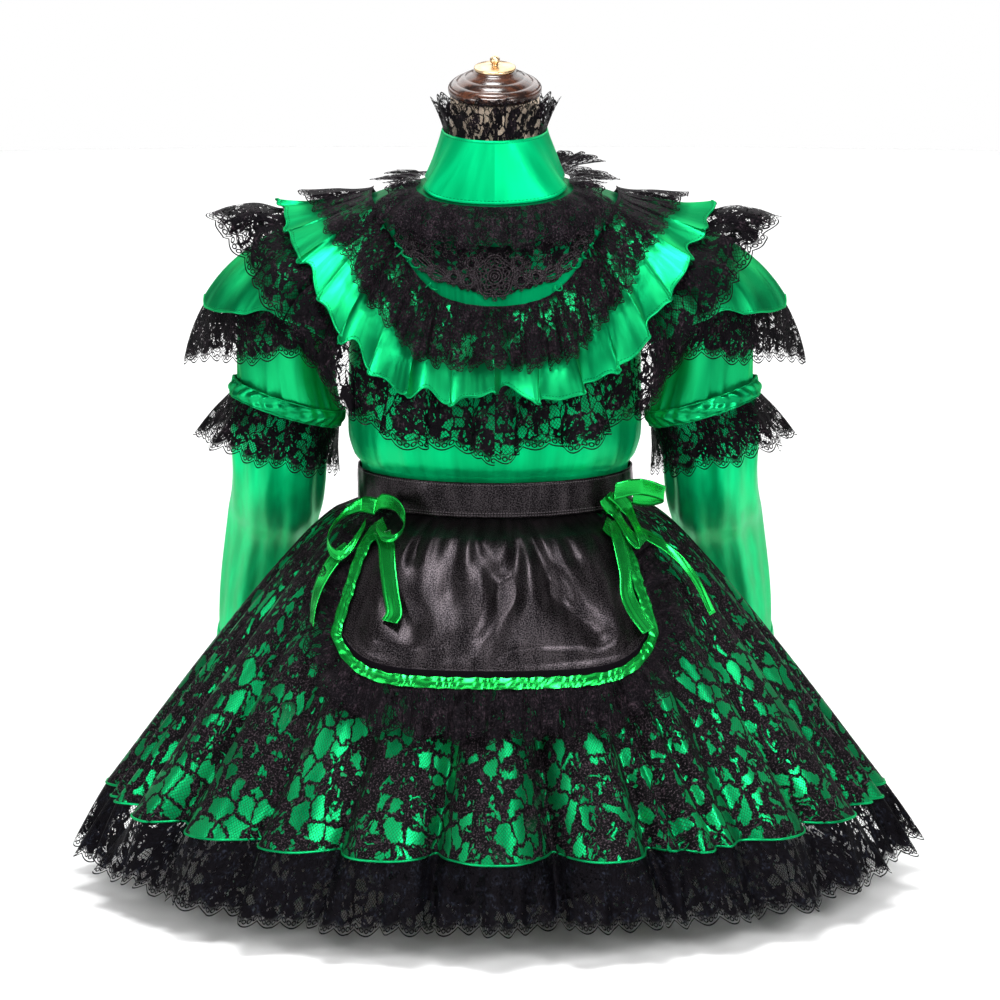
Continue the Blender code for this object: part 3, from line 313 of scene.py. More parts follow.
def satinColour(look):
    squeeze = look["wide"] / satinWork["streakLength"]
    lengthwise = look is satinLooks["ribbon"]
    soft = clothNoise(look["wide"], run=(squeeze, 1.0) if lengthwise else (1.0, squeeze))
    wide = clothNoise(0.045, 1.5, run=(1.0, 0.30))
    # lighter and darker streaks and broad patches: painted sheen and painted shade, the streaks laid also as
    # bump relief
    share = ramp(soft * look["streak"] + wide * (1 - look["streak"]), 0.30, 0.70)
    return blendColour(share, shade(look["deep"]), shade(look["bright"])), soft


def weaveHeight():
    along, down = cutParts()
    size = satinWork["weave"]
    return calc("SINE", along * (tau / size)) * calc("SINE", down * (tau / (size * 1.4)))


def stitched(colour, height, top, edge, thread, cover, deep, length, width):
    # rows of dashes along the cloth, at distances from its seam and from its free edge
    for distance, places in zip(edgeMap(), (top, edge)):
        if places:
            dash = ramp(calc("SINE", cutParts()[0] * (tau / length)), -0.55, -0.15)
            stitch = biggest(*(near(distance, place, width, width * 0.4) for place in places)) * dash
            colour = blendColour(stitch * cover, colour, thread)
            height = height - stitch * deep
    return colour, height


def satinFinish(name, look, top=(), edge=(), wrinkle=0.0):
    look = satinLooks[look]
    startFinish(name, {
        "Metallic": look["metallic"], "Specular IOR Level": 0.5, "Specular Tint": shade(look["tint"]),
        "Sheen Weight": 0.10, "Sheen Roughness": 0.4, "Sheen Tint": shade(look["tint"]),
        "Anisotropic": 0.35})
    colour, soft = satinColour(look)
    height = weaveHeight() * 0.02 + soft * 0.40
    if wrinkle:
        height = height + clothNoise(0.012, 3.0, 0.6, (1.0, 0.35)) * wrinkle
    colour, height = stitched(colour, height, top, edge, shade(look["deep"], 0.25), 0.7, 1.2, 0.0032, 0.0007)
    rough = ramp(soft, 0.3, 0.7, look["roughness"] - 0.05, look["roughness"] + 0.07)
    endFinish({"Base Color": colour, "Roughness": rough}, height, 0.0006, 0.6)


def blackSatinFinish(name, top=(), edge=(), band=0.0, tone=1.0):
    look = satinLooks["black"]
    startFinish(name, {
        "Metallic": look["metallic"], "Specular IOR Level": 0.30, "Specular Tint": shade(look["tint"])})
    grain = clothNoise(0.0016, 2.0, 0.75)
    streak = clothNoise(0.016, run=(1.0, 0.30))
    share = ramp(grain * 0.8 + streak * 0.2, 0.44, 0.60)
    colour = blendColour(share, shade(look["deep"], tone), shade(look["bright"], tone))
    height = grain * 0.22 + streak * 0.9
    thread = shade(satinWork["stitchColour"])
    colour, height = stitched(colour, height, top, edge, thread, 0.6, 1.0, 0.0034, 0.0008)
    rough = ramp(grain, 0.3, 0.7, look["roughness"] - 0.06, look["roughness"] + 0.06)
    if band:                                     # flat band inside the ribbon, duller than the satin
        inside = ramp(edgeMap()[1], band, band - 0.002)
        colour = blendColour(inside, colour, (0.006, 0.005, 0.007, 1))
        rough = blendValue(inside, rough, 0.85)
        height = blendValue(inside, height, clothNoise(0.002, 3.0, 0.8) * 3.0)
    endFinish({"Base Color": colour, "Roughness": rough}, height, 0.0007, 0.7)


# Floral lace. Flowers, leaf cells and vines are filled threads, the rest is an open net
laceLooks = looks(
    "flower leaf net bend fill vine patch glimpse tall netThread",
    skirt=(0.066, 0.0185, 0.0022, 0.016, 0.10, (0.055, 0.38), 0.050, 0.62, 1.6, 0.080),
    ruffle=(0.040, 0.0120, 0.0026, 0.012, 0.22, (0.08, 0.44), 0.034, 0.55, 1.2, 0.115),
    under=(0.042, 0.0130, 0.0028, 0.013, 0.16, (0.05, 0.36), 0.040, 0.50, 1.3, 0.085),
    hem=(0.044, 0.0140, 0.0024, 0.012, 0.30, (0.10, 0.46), 0.044, 0.66, 1.4, 0.12),
    apron=(0.036, 0.0125, 0.0024, 0.012, 0.26, (0.05, 0.48), 0.030, 0.58, 1.5, 0.11),
    ground=(0.022, 0.0080, 0.0020, 0.008, 0.20, (0.04, 0.34), 0.020, 0.55, 1.0, 0.06),
    neck=(0.026, 0.0100, 0.0020, 0.010, 0.34, (0.12, 0.44), 0.024, 0.50, 1.1, 0.15),
    collar=(0.020, 0.0085, 0.0018, 0.006, 0.34, (0.07, 0.16), 0.020, 0.80, 1.3, 0.05),
)
threadTones = {"deep": (0.0005, 0.0004, 0.0008), "patch": (0.0300, 0.0195, 0.0255),
               "bluePatch": (0.0125, 0.0150, 0.0230), "paintedGlint": (0.085, 0.064, 0.076)}


def threadColour(ragged, tone=1.0, sheenPatchTone="patch", paintedGlint=0.0):
    # near black, with soft brown and violet patches of painted sheen where the threads are thick; the light
    # specks are painted glints
    share = ramp(ragged, 0.48, 0.70) * ramp(clothNoise(0.016), 0.46, 0.66, 0.04, 1.0)
    colour = blendColour(share, shade(threadTones["deep"], tone), shade(threadTones[sheenPatchTone], tone))
    if paintedGlint:
        light = ramp(clothNoise(0.0022, 2.0, 0.8), 0.56, 0.70, 0.0, paintedGlint)
        colour = blendColour(light, colour, shade(threadTones["paintedGlint"]))
    return colour


def lacePattern(look, more=None):
    where = stretched(cutMap(), 1.0, 1.0 / look["tall"])
    bender = noise(where, look["flower"] * 0.35, 3.0, 0.62, "Color")
    shift = vecCalc("SCALE", vecCalc("SUBTRACT", bender, (0.5, 0.5, 0.5)), scale=look["bend"])
    bent = vecCalc("ADD", where, shift)
    ragged = noise(where, 0.0032, 3.0, 0.75)
    rough = ragged - 0.5

    spot, chance = cells(bent, look["flower"], 0.8, "Position", "Color")
    away = vecCalc("SUBTRACT", bent, spot)
    reach = vecCalc("LENGTH", away)
    awayX, awayY = put("SeparateXYZ", {0: away}, 0, 1)
    turnChance, sizeChance = put("SeparateColor", {0: chance}, 0, 1)
    spun = calc("ARCTAN2", awayY, awayX) + turnChance * 6.28
    petal = calc("COSINE", spun * 5.0)
    outline = look["flower"] * (0.27 + petal * 0.075) * (0.75 + sizeChance * 0.5)
    inner = outline - reach + rough * 0.006
    flower = ramp(inner, 0.0, 0.0012)
    rim = near(inner, None, 0.0018, 0.0008)
    core = near(reach, look["flower"] * 0.075, 0.0016, 0.0007)
    slits = ramp(calc("SINE", spun * 10.0), 0.80, 0.95)
    slits = slits * ramp(reach, look["flower"] * 0.10, look["flower"] * 0.13)

    luck = put("SeparateColor", {0: cells(bent, look["leaf"], 0.95, "Color")})
    gap = cellEdge(bent, look["leaf"], 0.95) + rough * 0.30
    wide = ramp(noise(where, look["patch"]), 0.36, 0.66, *look["vine"])
    if more is not None:
        luck = luck - more
        wide = wide + more * 0.5
    leaf = ramp(luck, look["fill"] + 0.02, look["fill"] - 0.02) * ramp(gap, 0.02, 0.06)
    vine = ramp(gap - wide, 0.020, -0.020)

    dot, tint = cells(bent, look["leaf"] * 0.34, 1.0, "Distance", "Color")
    lit = put("SeparateColor", {0: tint}, 1)
    glimpse = ramp(dot, 0.34, 0.26) * ramp(lit, look["glimpse"], look["glimpse"] + 0.05)
    filled = biggest(leaf, vine, flower * (1.0 - slits)) * (1.0 - glimpse)
    cord = biggest(ramp(gap, 0.100, 0.060), rim, core)
    slanted = put("VectorRotate", {"Vector": where, "Angle": 0.785}, rotation_type="Z_AXIS")
    net = ramp(cellEdge(slanted, look["net"], 0.30), look["netThread"] * 1.3, look["netThread"] * 0.7)
    return biggest(filled, cord), net, cord * 0.6 + ragged, ragged


def laceFinish(name, look, scallop, depth, border, tone=1.0, topBand=0.0, sheenPatchTone="patch", paintedGlint=0.0):
    # loose lace: see-through between its threads, cut in scallops along the free edge
    startFinish(name, {
        "Roughness": 0.50, "Specular IOR Level": 0.06, "Specular Tint": (0.95, 0.85, 1.0, 1)})
    motif, net, height, ragged = lacePattern(laceLooks[look])
    fromTop, fromEdge = edgeMap()
    bow = calc("ABSOLUTE", calc("SINE", cutParts()[0] * (math.pi / scallop)))
    past = fromEdge - (1.0 - bow) * depth
    hemCord = ramp(past, 0.0022, 0.0016)
    second = near(past, border, 0.0014, 0.0007)
    # open eyelets between the two edge cords
    eyelet = 0.0062
    step = put("SeparateXYZ", {0: stretched(cutMap(), 1 / eyelet, 0.0, 0.0)})
    across = calc("FRACT", step) - 0.5
    down = calc("DIVIDE", past - border * 0.52, eyelet)
    circle = calc("SQRT", across * across + down * down)
    ringCord = near(circle, 0.36, 0.16, 0.08)
    inBorder = ramp(past, border + 0.0003, border - 0.0003)
    edging = biggest(ringCord, hemCord, second, motif * ramp(past, 0.003, border))
    cover = blendValue(inBorder, biggest(motif, net), edging)
    if topBand:
        cover = biggest(cover, ramp(fromTop, topBand, topBand * 0.6))
    cover = cover * ramp(past, 0.0, 0.0004)
    colour = threadColour(ragged, tone, sheenPatchTone, paintedGlint)
    endFinish({"Alpha": cover, "Base Color": colour}, height + biggest(hemCord, ringCord) * 0.8, 0.0011, 0.9)


def skirtFinish(name):
    # satin with the floral lace laid on it: one cloth to the eye, the lace is raised
    look = satinLooks["green"]
    startFinish(name, {"Specular IOR Level": 0.06})
    more = ramp(edgeMap()[1], 0.02, 0.30, -0.04, 0.10, smooth=False)
    motif, net, height, ragged = lacePattern(laceLooks["skirt"], more)
    cover = biggest(motif, net * 0.62)
    endFinish({"Base Color": blendColour(cover, satinColour(look)[0], threadColour(ragged, paintedGlint=0.75)),
               "Roughness": blendValue(cover, look["roughness"], 0.55),
               "Metallic": blendValue(cover, look["metallic"], 0.0)},
              (0.7 + height) * cover, 0.0010, 0.85)


def cordFinish(name):
    # shiny twisted thread of the applique; its light specks are painted glints
    startFinish(name, {
        "Roughness": 0.24, "Specular IOR Level": 0.60, "Specular Tint": (1.0, 0.88, 0.96, 1)})
    along, aroundCord = cutParts()
    twist = calc("SINE", along * (tau / 0.0022) + aroundCord * (tau / 0.0045))
    ragged = clothNoise(0.0016, 2.0, 0.7)
    colour = blendColour(ramp(ragged, 0.52, 0.72), (0.0010, 0.0008, 0.0011, 1), (0.075, 0.060, 0.068, 1))
    endFinish({"Base Color": colour}, twist + ragged * 1.5, 0.0006, 0.9)


def linenFinish(name):
    startFinish(name, {"Roughness": 0.9, "Specular IOR Level": 0.2, "Sheen Weight": 0.2})
    share = (clothNoise(0.0012, run=(1.0, 0.25)) + clothNoise(0.0012, run=(0.25, 1.0))) * 0.5
    colour = blendColour(ramp(share, 0.35, 0.65), (0.60, 0.47, 0.35, 1), (0.82, 0.69, 0.55, 1))
    endFinish({"Base Color": colour}, share, 0.0006, 0.6)


def woodFinish(name):
    startFinish(name, {
        "Roughness": 0.24, "Specular IOR Level": 0.6, "Coat Weight": 0.5, "Coat Roughness": 0.12})
    grain = solidNoise(0.05, 4.0, 0.65, (1.0, 6.0, 6.0))
    pores = solidNoise(0.012, run=(1.0, 14.0, 14.0))
    share = ramp(grain, 0.35, 0.65) * ramp(pores, 0.2, 0.6, 0.6, 1.0)
    colour = blendColour(share, (0.010, 0.004, 0.003, 1), (0.085, 0.027, 0.012, 1))
    endFinish({"Base Color": colour}, pores, 0.0003, 0.4)


def metalFinish(name, deep, bright, roughness, metallic):
    startFinish(name, {"Metallic": metallic})
    patches = solidNoise(0.02, 4.0, 0.6)
    colour = blendColour(ramp(patches, 0.35, 0.7), shade(deep), shade(bright))
    rough = ramp(patches, 0.3, 0.7, roughness - 0.07, roughness + 0.10)
    endFinish({"Base Color": colour, "Roughness": rough}, solidNoise(0.0015), 0.0002, 0.3)


satinFinish("greenSatin", "green", wrinkle=0.8)
satinFinish("greenHemmed", "green", edge=(0.0035,), wrinkle=0.8)
satinFinish("bodiceSatin", "bodice", wrinkle=0.8)
satinFinish("sleeveSatin", "sleeve", wrinkle=0.6)
satinFinish("cuffSatin", "sleeve", top=(0.003,), edge=(0.003,))
satinFinish("collarSatin", "collar", top=(0.0035,), edge=(0.0035,))
satinFinish("yokeCloth", "yoke")
satinFinish("ribbonSatin", "ribbon", wrinkle=0.08)
satinFinish("ribbonRuched", "ribbon", wrinkle=0.3)
blackSatinFinish("apronSatin", band=0.0155, tone=0.90)
# the waistband takes the apron's black satin at a lower tone: painted shade
blackSatinFinish("waistSatin", top=(0.003, 0.036), edge=(0.003,), tone=0.66)
skirtFinish("skirtLace")
laceFinish("berthaLace", "under", 0.024, 0.007, 0.012)
laceFinish("topLace", "ruffle", 0.020, 0.006, 0.010, topBand=0.006, paintedGlint=0.25)
laceFinish("capLace", "ruffle", 0.022, 0.007, 0.012)
laceFinish("frillLace", "ruffle", 0.022, 0.008, 0.012)
laceFinish("apronLace", "apron", 0.024, 0.006, 0.010, tone=1.2, paintedGlint=0.30)
laceFinish("hemLace", "hem", 0.030, 0.009, 0.013, tone=1.2, sheenPatchTone="bluePatch")
laceFinish("groundLace", "ground", 0.012, 0.002, 0.003)
laceFinish("neckLace", "neck", 0.020, 0.006, 0.009, tone=1.2, paintedGlint=0.40)
laceFinish("collarLace", "collar", 0.016, 0.006, 0.009)
cordFinish("cord")
linenFinish("linen")
woodFinish("wood")
metalFinish("brass", (0.62, 0.40, 0.20), (0.86, 0.66, 0.42), 0.28, 1.0)
metalFinish("darkMetal", (0.018, 0.018, 0.020), (0.045, 0.044, 0.046), 0.42, 0.8)
print("finishes made:", len(finishes))


# Curves through the tables of the pattern
def column(rows, key):
    return np.array([row[key] for row in rows], float)


def smoothCurve(rows, across, value):
    xs, ys = column(rows, across), column(rows, value)
    order = np.argsort(xs)
    xs, ys = xs[order], ys[order]
    step = np.diff(xs)
    slope = np.diff(ys) / step
    lean = np.zeros(len(xs))
    lean[0], lean[-1] = slope[0], slope[-1]
    for i in range(1, len(xs) - 1):
        if slope[i - 1] * slope[i] > 0:
            lean[i] = 2 * slope[i - 1] * slope[i] / (slope[i - 1] + slope[i])

    def read(at):
        at = np.clip(np.asarray(at, float), xs[0], xs[-1])
        i = np.clip(np.searchsorted(xs, at) - 1, 0, len(step) - 1)
        t = (at - xs[i]) / step[i]
        return ((1 + 2 * t) * (1 - t) ** 2 * ys[i] + t * (1 - t) ** 2 * step[i] * lean[i]
                + t * t * (3 - 2 * t) * ys[i + 1] + t * t * (t - 1) * step[i] * lean[i + 1])

    return read


def spline(points, places):
    points = np.asarray(points, float)
    padded = np.vstack([2 * points[0] - points[1], points, 2 * points[-1] - points[-2]])
    places = np.asarray(places, float)
    i = np.clip(places.astype(int), 0, len(points) - 2)
    t = (places - i)[:, None]
    a, b, c, d = padded[i], padded[i + 1], padded[i + 2], padded[i + 3]
    return 0.5 * (2 * b + (c - a) * t + (2 * a - 5 * b + 4 * c - d) * t ** 2
                  + (3 * b - a - 3 * c + d) * t ** 3)


def foldWave(phase, sharp):
    # gathered fold from -1 to 1, its ridge narrower than its trough
    return (np.cos(phase) + sharp * np.cos(2 * phase) - sharp * 0.5) / (1 + sharp * 0.5)


def pleat(phase, sharp):
    # fold from -1 to 1, its trough narrower than its ridge
    return -foldWave(phase + math.pi, sharp)


def unit(vectors):
    return vectors / np.maximum(np.linalg.norm(vectors, axis=-1, keepdims=True), 1e-9)


def slopes(values, closed, axis=1):
    if closed:
        return (np.roll(values, -1, axis=axis) - np.roll(values, 1, axis=axis)) / 2
    return np.gradient(values, axis=axis)


def lengthsAlong(line):
    return np.concatenate([[0], np.cumsum(np.linalg.norm(np.diff(line, axis=0), axis=1))])


def gridNormals(grid, closed):
    normal = np.cross(np.gradient(grid, axis=0), slopes(grid, closed))
    return normal / np.maximum(np.linalg.norm(normal, axis=2, keepdims=True), 1e-12)


def angles(count, start=0.0, end=360.0, closed=True):
    return np.radians(np.linspace(start, end, count + 1 if closed else count)[:count])


def oval(turn, wide, deep, z, back=0.0):
    z = np.broadcast_to(z, turn.shape)
    return np.stack([wide * np.sin(turn), -deep * np.cos(turn) - back, z], axis=-1)


def sweep(make, *steps):
    # a grid's rows, one for each step
    return np.array([make(t) for t in np.linspace(*steps)])


# Mesh helpers. A grid's rows run from the seam to the free edge, its columns to the wearer's left.
# The slack of a flat piece over what its mesh measures, and how far cords lie from any free edge
areaSlack, farFromEdge = 1.02, 0.05


def meshFrom(name, points, faces, maps):
    mesh = bpy.data.meshes.new(name)
    mesh.vertices.add(len(points))
    mesh.vertices.foreach_set("co", np.asarray(points, np.float32).reshape(-1))
    mesh.loops.add(faces.size)
    mesh.loops.foreach_set("vertex_index", faces.reshape(-1).astype(np.int32))
    mesh.polygons.add(len(faces))
    mesh.polygons.foreach_set("loop_start", np.arange(0, faces.size, faces.shape[1], dtype=np.int32))
    mesh.update(calc_edges=True)
    for key, values in maps.items():
        mesh.uv_layers.new(name=key).data.foreach_set("uv", np.asarray(values, np.float32).reshape(-1))
    mesh.validate()
    mesh.shade_smooth()
    return mesh


def corners(values):
    return np.stack([values[:-1, :-1], values[1:, :-1], values[1:, 1:], values[:-1, 1:]], axis=2)


def wrapped(values, closed):
    return np.concatenate([values, values[:, :1]], axis=1) if closed else values


def clothMesh(name, grid, closed=False, measured=0.75):
    # the mesh, and the width, length and area of the flat piece that it is gathered from
    rows, columns = grid.shape[:2]
    ring = wrapped(grid, closed)
    across = np.linalg.norm(np.diff(ring, axis=1), axis=2)
    along = np.concatenate([[0], np.cumsum(across[int(round((rows - 1) * measured))])])
    down = np.linalg.norm(np.diff(ring, axis=0), axis=2)
    down = np.concatenate([np.zeros((1, ring.shape[1])), np.cumsum(down, axis=0)])
    cut = np.stack([np.broadcast_to(along, down.shape), down], axis=-1)
    edges = np.stack([down, down[-1] - down], axis=-1)
    index = wrapped(np.arange(rows * columns).reshape(rows, columns), closed)
    mesh = meshFrom(name, grid.reshape(-1, 3), corners(index).reshape(-1, 4),
                    {"cut": corners(cut), "edges": corners(edges)})
    quads = corners(ring).reshape(-1, 4, 3)
    area = 0.5 * np.linalg.norm(np.cross(quads[:, 2] - quads[:, 0], quads[:, 3] - quads[:, 1]), axis=1).sum()
    return mesh, across.sum(axis=1).max(), down[-1].mean(), area


def tubeParts(line, radius, closed=False, sides=6, up=None):
    # points, faces and cut map of a round cord along a line
    line = np.asarray(line, float)
    way = unit(slopes(line, closed, 0))
    if up is None:
        up = line - line.mean(axis=0)
        up[:, 2] *= 0.2
    first = unit(np.cross(way, up))
    second = np.cross(first, way)
    radius = np.broadcast_to(np.asarray(radius, float), len(line))[:, None]
    turns = [tau * i / sides for i in range(sides)]
    points = np.array([line + radius * (first * math.cos(turn) + second * math.sin(turn)) for turn in turns])
    index = np.arange(sides * len(line)).reshape(sides, len(line))
    index = wrapped(np.concatenate([index, index[:1]]), closed)
    length = lengthsAlong(line)
    if closed:
        length = np.append(length, length[-1] + np.linalg.norm(line[0] - line[-1]))
    aroundCord = np.arange(sides + 1)[:, None] * tau * float(radius.mean()) / sides
    cut = np.stack(np.broadcast_arrays(length[None, :], aroundCord), axis=-1)
    return points.reshape(-1, 3), corners(index).reshape(-1, 4), corners(cut).reshape(-1, 2)


def joinedMesh(name, parts):
    points, faces, cuts = zip(*parts)
    starts = np.cumsum([0] + [len(some) for some in points])
    cut = np.vstack(cuts)
    faces = np.vstack([which + start for which, start in zip(faces, starts)])
    return meshFrom(name, np.vstack(points), faces, {"cut": cut, "edges": np.full_like(cut, farFromEdge)})


def addPiece(name, mesh, finish, node=None):
    piece = addObject(name, mesh)
    mesh.materials.append(finishes[finish])
    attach(piece, "root")
    if node:
        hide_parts(node)
    return piece


def addCloth(name, grid, finish, node, restsOn, closed=False, thickness=0.0, measured=0.75):
    mesh, width, length, area = clothMesh(name, grid, closed, measured)
    piece = addPiece(name, mesh, finish, node)
    if thickness:
        wall = piece.modifiers.new("wall", "SOLIDIFY")
        wall.thickness = thickness
        wall.offset = 0
    width, length = round(float(width), 4), round(float(length), 4)


def rollHem(name, line, radius, closed=False):
    return addPiece(name, joinedMesh(name, [tubeParts(line, radius, closed)]), "greenSatin")


def mirrored(grid, side):
    return grid if side > 0 else (grid * np.array([-1, 1, 1]))[:, ::-1]


# The pattern's sizes, the same as the solids'
seamGap, satinWall, laceWall, ease = 0.0003, 0.0018, 0.0016, 0.0009
bodyTable = table(
    "z side front back",
    (0.262, 0.150, 0.112, 0.118), (0.300, 0.172, 0.124, 0.136), (0.360, 0.175, 0.128, 0.140),
    (0.440, 0.158, 0.122, 0.120), (0.485, 0.152, 0.122, 0.117), (0.540, 0.155, 0.125, 0.108),
    (0.600, 0.163, 0.134, 0.106), (0.650, 0.169, 0.140, 0.110), (0.690, 0.172, 0.134, 0.115),
    (0.724, 0.176, 0.123, 0.117), (0.760, 0.181, 0.107, 0.115), (0.795, 0.184, 0.091, 0.108),
    (0.810, 0.178, 0.084, 0.103), (0.820, 0.166, 0.080, 0.098), (0.830, 0.143, 0.0765, 0.093),
    (0.839, 0.113, 0.0725, 0.086), (0.845, 0.090, 0.069, 0.080), (0.851, 0.076, 0.065, 0.074),
    (0.861, 0.063, 0.059, 0.064), (0.878, 0.056, 0.055, 0.056), (0.960, 0.053, 0.053, 0.053),
)
# upper edge of the bodice, lower edge of the yoke and line of the collar, by angle from the front
edgeTable = table(
    "angle bodice yoke collar",
    (0, 0.7030, 0.7033, 0.8260), (14, 0.7085, 0.7088, 0.8275), (27, 0.7230, 0.7233, 0.8310),
    (40, 0.7520, 0.7523, 0.8365), (50, 0.7640, 0.7643, 0.8405), (62, 0.7400, 0.7830, 0.8460),
    (76, 0.6900, 0.7970, 0.8485), (90, 0.6650, 0.8020, 0.8495), (104, 0.6900, 0.7970, 0.8500),
    (118, 0.7400, 0.7850, 0.8500), (130, 0.7700, 0.7703, 0.8500), (145, 0.7560, 0.7563, 0.8500),
    (162, 0.7440, 0.7443, 0.8500), (180, 0.7400, 0.7403, 0.8500),
)
bodySide, bodyFront, bodyBack = (smoothCurve(bodyTable, "z", key) for key in ("side", "front", "back"))


def onBody(angle, z, lift):
    angle, z, lift = np.broadcast_arrays(np.asarray(angle, float), z, lift)

    def place(turn, height):
        depth = np.where(np.cos(turn) > 0, bodyFront(height), bodyBack(height))
        return np.stack([bodySide(height) * np.sin(turn), -depth * np.cos(turn), height], axis=-1)

    along = place(angle + 0.004, z) - place(angle - 0.004, z)
    up = place(angle, z + 0.0015) - place(angle, z - 0.0015)
    normal = np.cross(along, up)
    normal /= np.linalg.norm(normal, axis=-1, keepdims=True)
    return place(angle, z) + normal * lift[..., None]


def edgeAt(angle, key):
    turn = np.abs((np.degrees(angle) + 180) % 360 - 180)
    return smoothCurve(edgeTable, "angle", key)(turn)


# Dress form and its stand
formSize = {"inset": 0.0026, "footInset": 0.006, "bottom": 0.262, "neckTop": 0.950, "neckTilt": 13.0,
            "neckForward": 0.010, "neckRadius": 0.0518}
standSize = {"baseHeight": 0.018, "poleRadius": 0.016}
baseProfile = [
    (0.0, 0.0), (0.146, 0.0), (0.1490, 0.0015), (0.150, 0.004), (0.150, 0.012), (0.1488, 0.0148),
    (0.1450, 0.0163), (0.1400, 0.0166), (0.1385, 0.0160), (0.1370, 0.0168), (0.130, 0.0180), (0.0, 0.0180),
]
capProfile = [
    (0.0, 0.0003), (0.0515, 0.0003), (0.0540, 0.0018), (0.0552, 0.0048), (0.0552, 0.0085), (0.0542, 0.0105),
    (0.0534, 0.0108), (0.0530, 0.0114), (0.0522, 0.0130), (0.0496, 0.0150), (0.0468, 0.0160),
    (0.0458, 0.0158), (0.0452, 0.0162), (0.0444, 0.0172), (0.0432, 0.0184), (0.0402, 0.0204),
    (0.0370, 0.0220), (0.0358, 0.0219), (0.0350, 0.0223), (0.0342, 0.0232), (0.0318, 0.0248),
    (0.0278, 0.0268), (0.0256, 0.0284), (0.0250, 0.0300), (0.0, 0.0300),
]
finialProfile = [
    (0.0, 0.0303), (0.0236, 0.0303), (0.0244, 0.0310), (0.0246, 0.0322), (0.0243, 0.0334), (0.0232, 0.0340),
    (0.0140, 0.0343), (0.0062, 0.0347), (0.0046, 0.0353), (0.0038, 0.0362), (0.0036, 0.0372),
    (0.0044, 0.0384), (0.0057, 0.0398), (0.0062, 0.0415), (0.0058, 0.0432), (0.0047, 0.0450),
    (0.0036, 0.0460), (0.0020, 0.0466), (0.0, 0.0467),
]


def makeForm():
    ring = angles(84)
    bottom = formSize["bottom"]
    levels = [bottom, bottom + 0.002, bottom + 0.006]
    levels += [*np.linspace(0.275, 0.80, 44), *np.linspace(0.805, 0.870, 16)]
    rings = [np.broadcast_to(np.array([0, 0, bottom]), (len(ring), 3))]
    for z in levels:
        inset = formSize["inset"] + max(formSize["footInset"] * (1 - (z - bottom) / 0.006), 0)
        here = onBody(ring, np.full(len(ring), z), -inset)
        if z < 0.70:
            here[:, 2] = z
        rings.append(here)
    tilt = math.radians(formSize["neckTilt"])
    across = formSize["neckRadius"] * np.cos(ring)
    top = np.stack([formSize["neckRadius"] * np.sin(ring),
                    -across * math.cos(tilt) - formSize["neckForward"],
                    formSize["neckTop"] - seamGap - across * math.sin(tilt)], axis=-1)
    last = rings[-1]
    rings += [last + (top - last) * share for share in np.linspace(0.1, 1.0, 10)]
    rings.append(np.broadcast_to(top.mean(axis=0), top.shape))
    addPiece("formTorso", clothMesh("formTorso", np.array(rings)[::-1], True)[0], "linen", "form_torso")


def addTurned(name, profile, sides, finish, node, place=None):
    ring = angles(sides)
    points = np.array([[(r * math.sin(a), -r * math.cos(a), z) for a in ring] for r, z in profile[::-1]])
    if place is not None:
        points = points @ np.array(place.to_3x3()).T + np.array(place.translation)
    addPiece(name, clothMesh(name, points, True)[0], finish, node)


def makeStand():
    addTurned("standBase", baseProfile, 96, "darkMetal", "stand_base")
    r, low, high = standSize["poleRadius"], standSize["baseHeight"], formSize["bottom"]
    pole = [(0.0, low + 0.0003), (r, low + 0.0003), (r, low + 0.008), (r * 0.96, low + 0.009),
            (r * 0.96, high - 0.010), (r, high - 0.009), (r, high - 0.0003), (0.0, high - 0.0003)]
    addTurned("standPole", pole, 40, "darkMetal", "stand_pole")
    place = (Matrix.Translation((0, -formSize["neckForward"], formSize["neckTop"]))
             @ Matrix.Rotation(math.radians(formSize["neckTilt"]), 4, "X"))
    addTurned("neckCap", capProfile, 96, "wood", "neck_cap", place)
    addTurned("capFinial", finialProfile, 48, "brass", "cap_finial", place)


makeForm()
makeStand()
print("form and stand made")


# Collar, lace standing from it, ruffle round the neck
collarSize = {"rimAcross": 0.0605, "rimFront": 0.0600, "rimBack": 0.0570, "rimHeight": 0.9085,
              "rimTilt": 0.0085, "forward": 0.003, "laceTop": 0.9480, "laceReach": 0.0735, "waves": 12}


def collarRim(ring, grow, drop):
    deep = np.where(np.cos(ring) > 0, collarSize["rimFront"] + grow, collarSize["rimBack"] + grow)
    return oval(ring, collarSize["rimAcross"] + grow, deep,
                collarSize["rimHeight"] - drop - collarSize["rimTilt"] * np.cos(ring), collarSize["forward"])


def makeCollar():
    ring = angles(112)
    foot = onBody(ring, edgeAt(ring, "collar"), ease + satinWall + 0.0018)
    rim = collarRim(ring, 0.0, 0.0)
    waist = 0.5 * foot + 0.5 * rim
    waist[:, :2] *= 0.985
    out = np.stack([np.sin(ring), -np.cos(ring), np.full(len(ring), 0.15)], axis=-1)

    def row(t):
        bend = 2 * t * (1 - t)
        here = foot * (1 - t) ** 2 + (2 * waist - 0.5 * (foot + rim)) * bend + rim * t ** 2
        buckle = 0.0007 * np.sin(5 * ring + 1.3 * t) * bend * 2 + 0.0003 * np.sin(17 * ring + 3 * t)
        return here + out * (0.0011 + buckle)[:, None]

    addCloth("collarStand", sweep(row, 1, 0, 26), "collarSatin", "collar",
             "yoke_front yoke_back", True, 0.0016, measured=0.5)


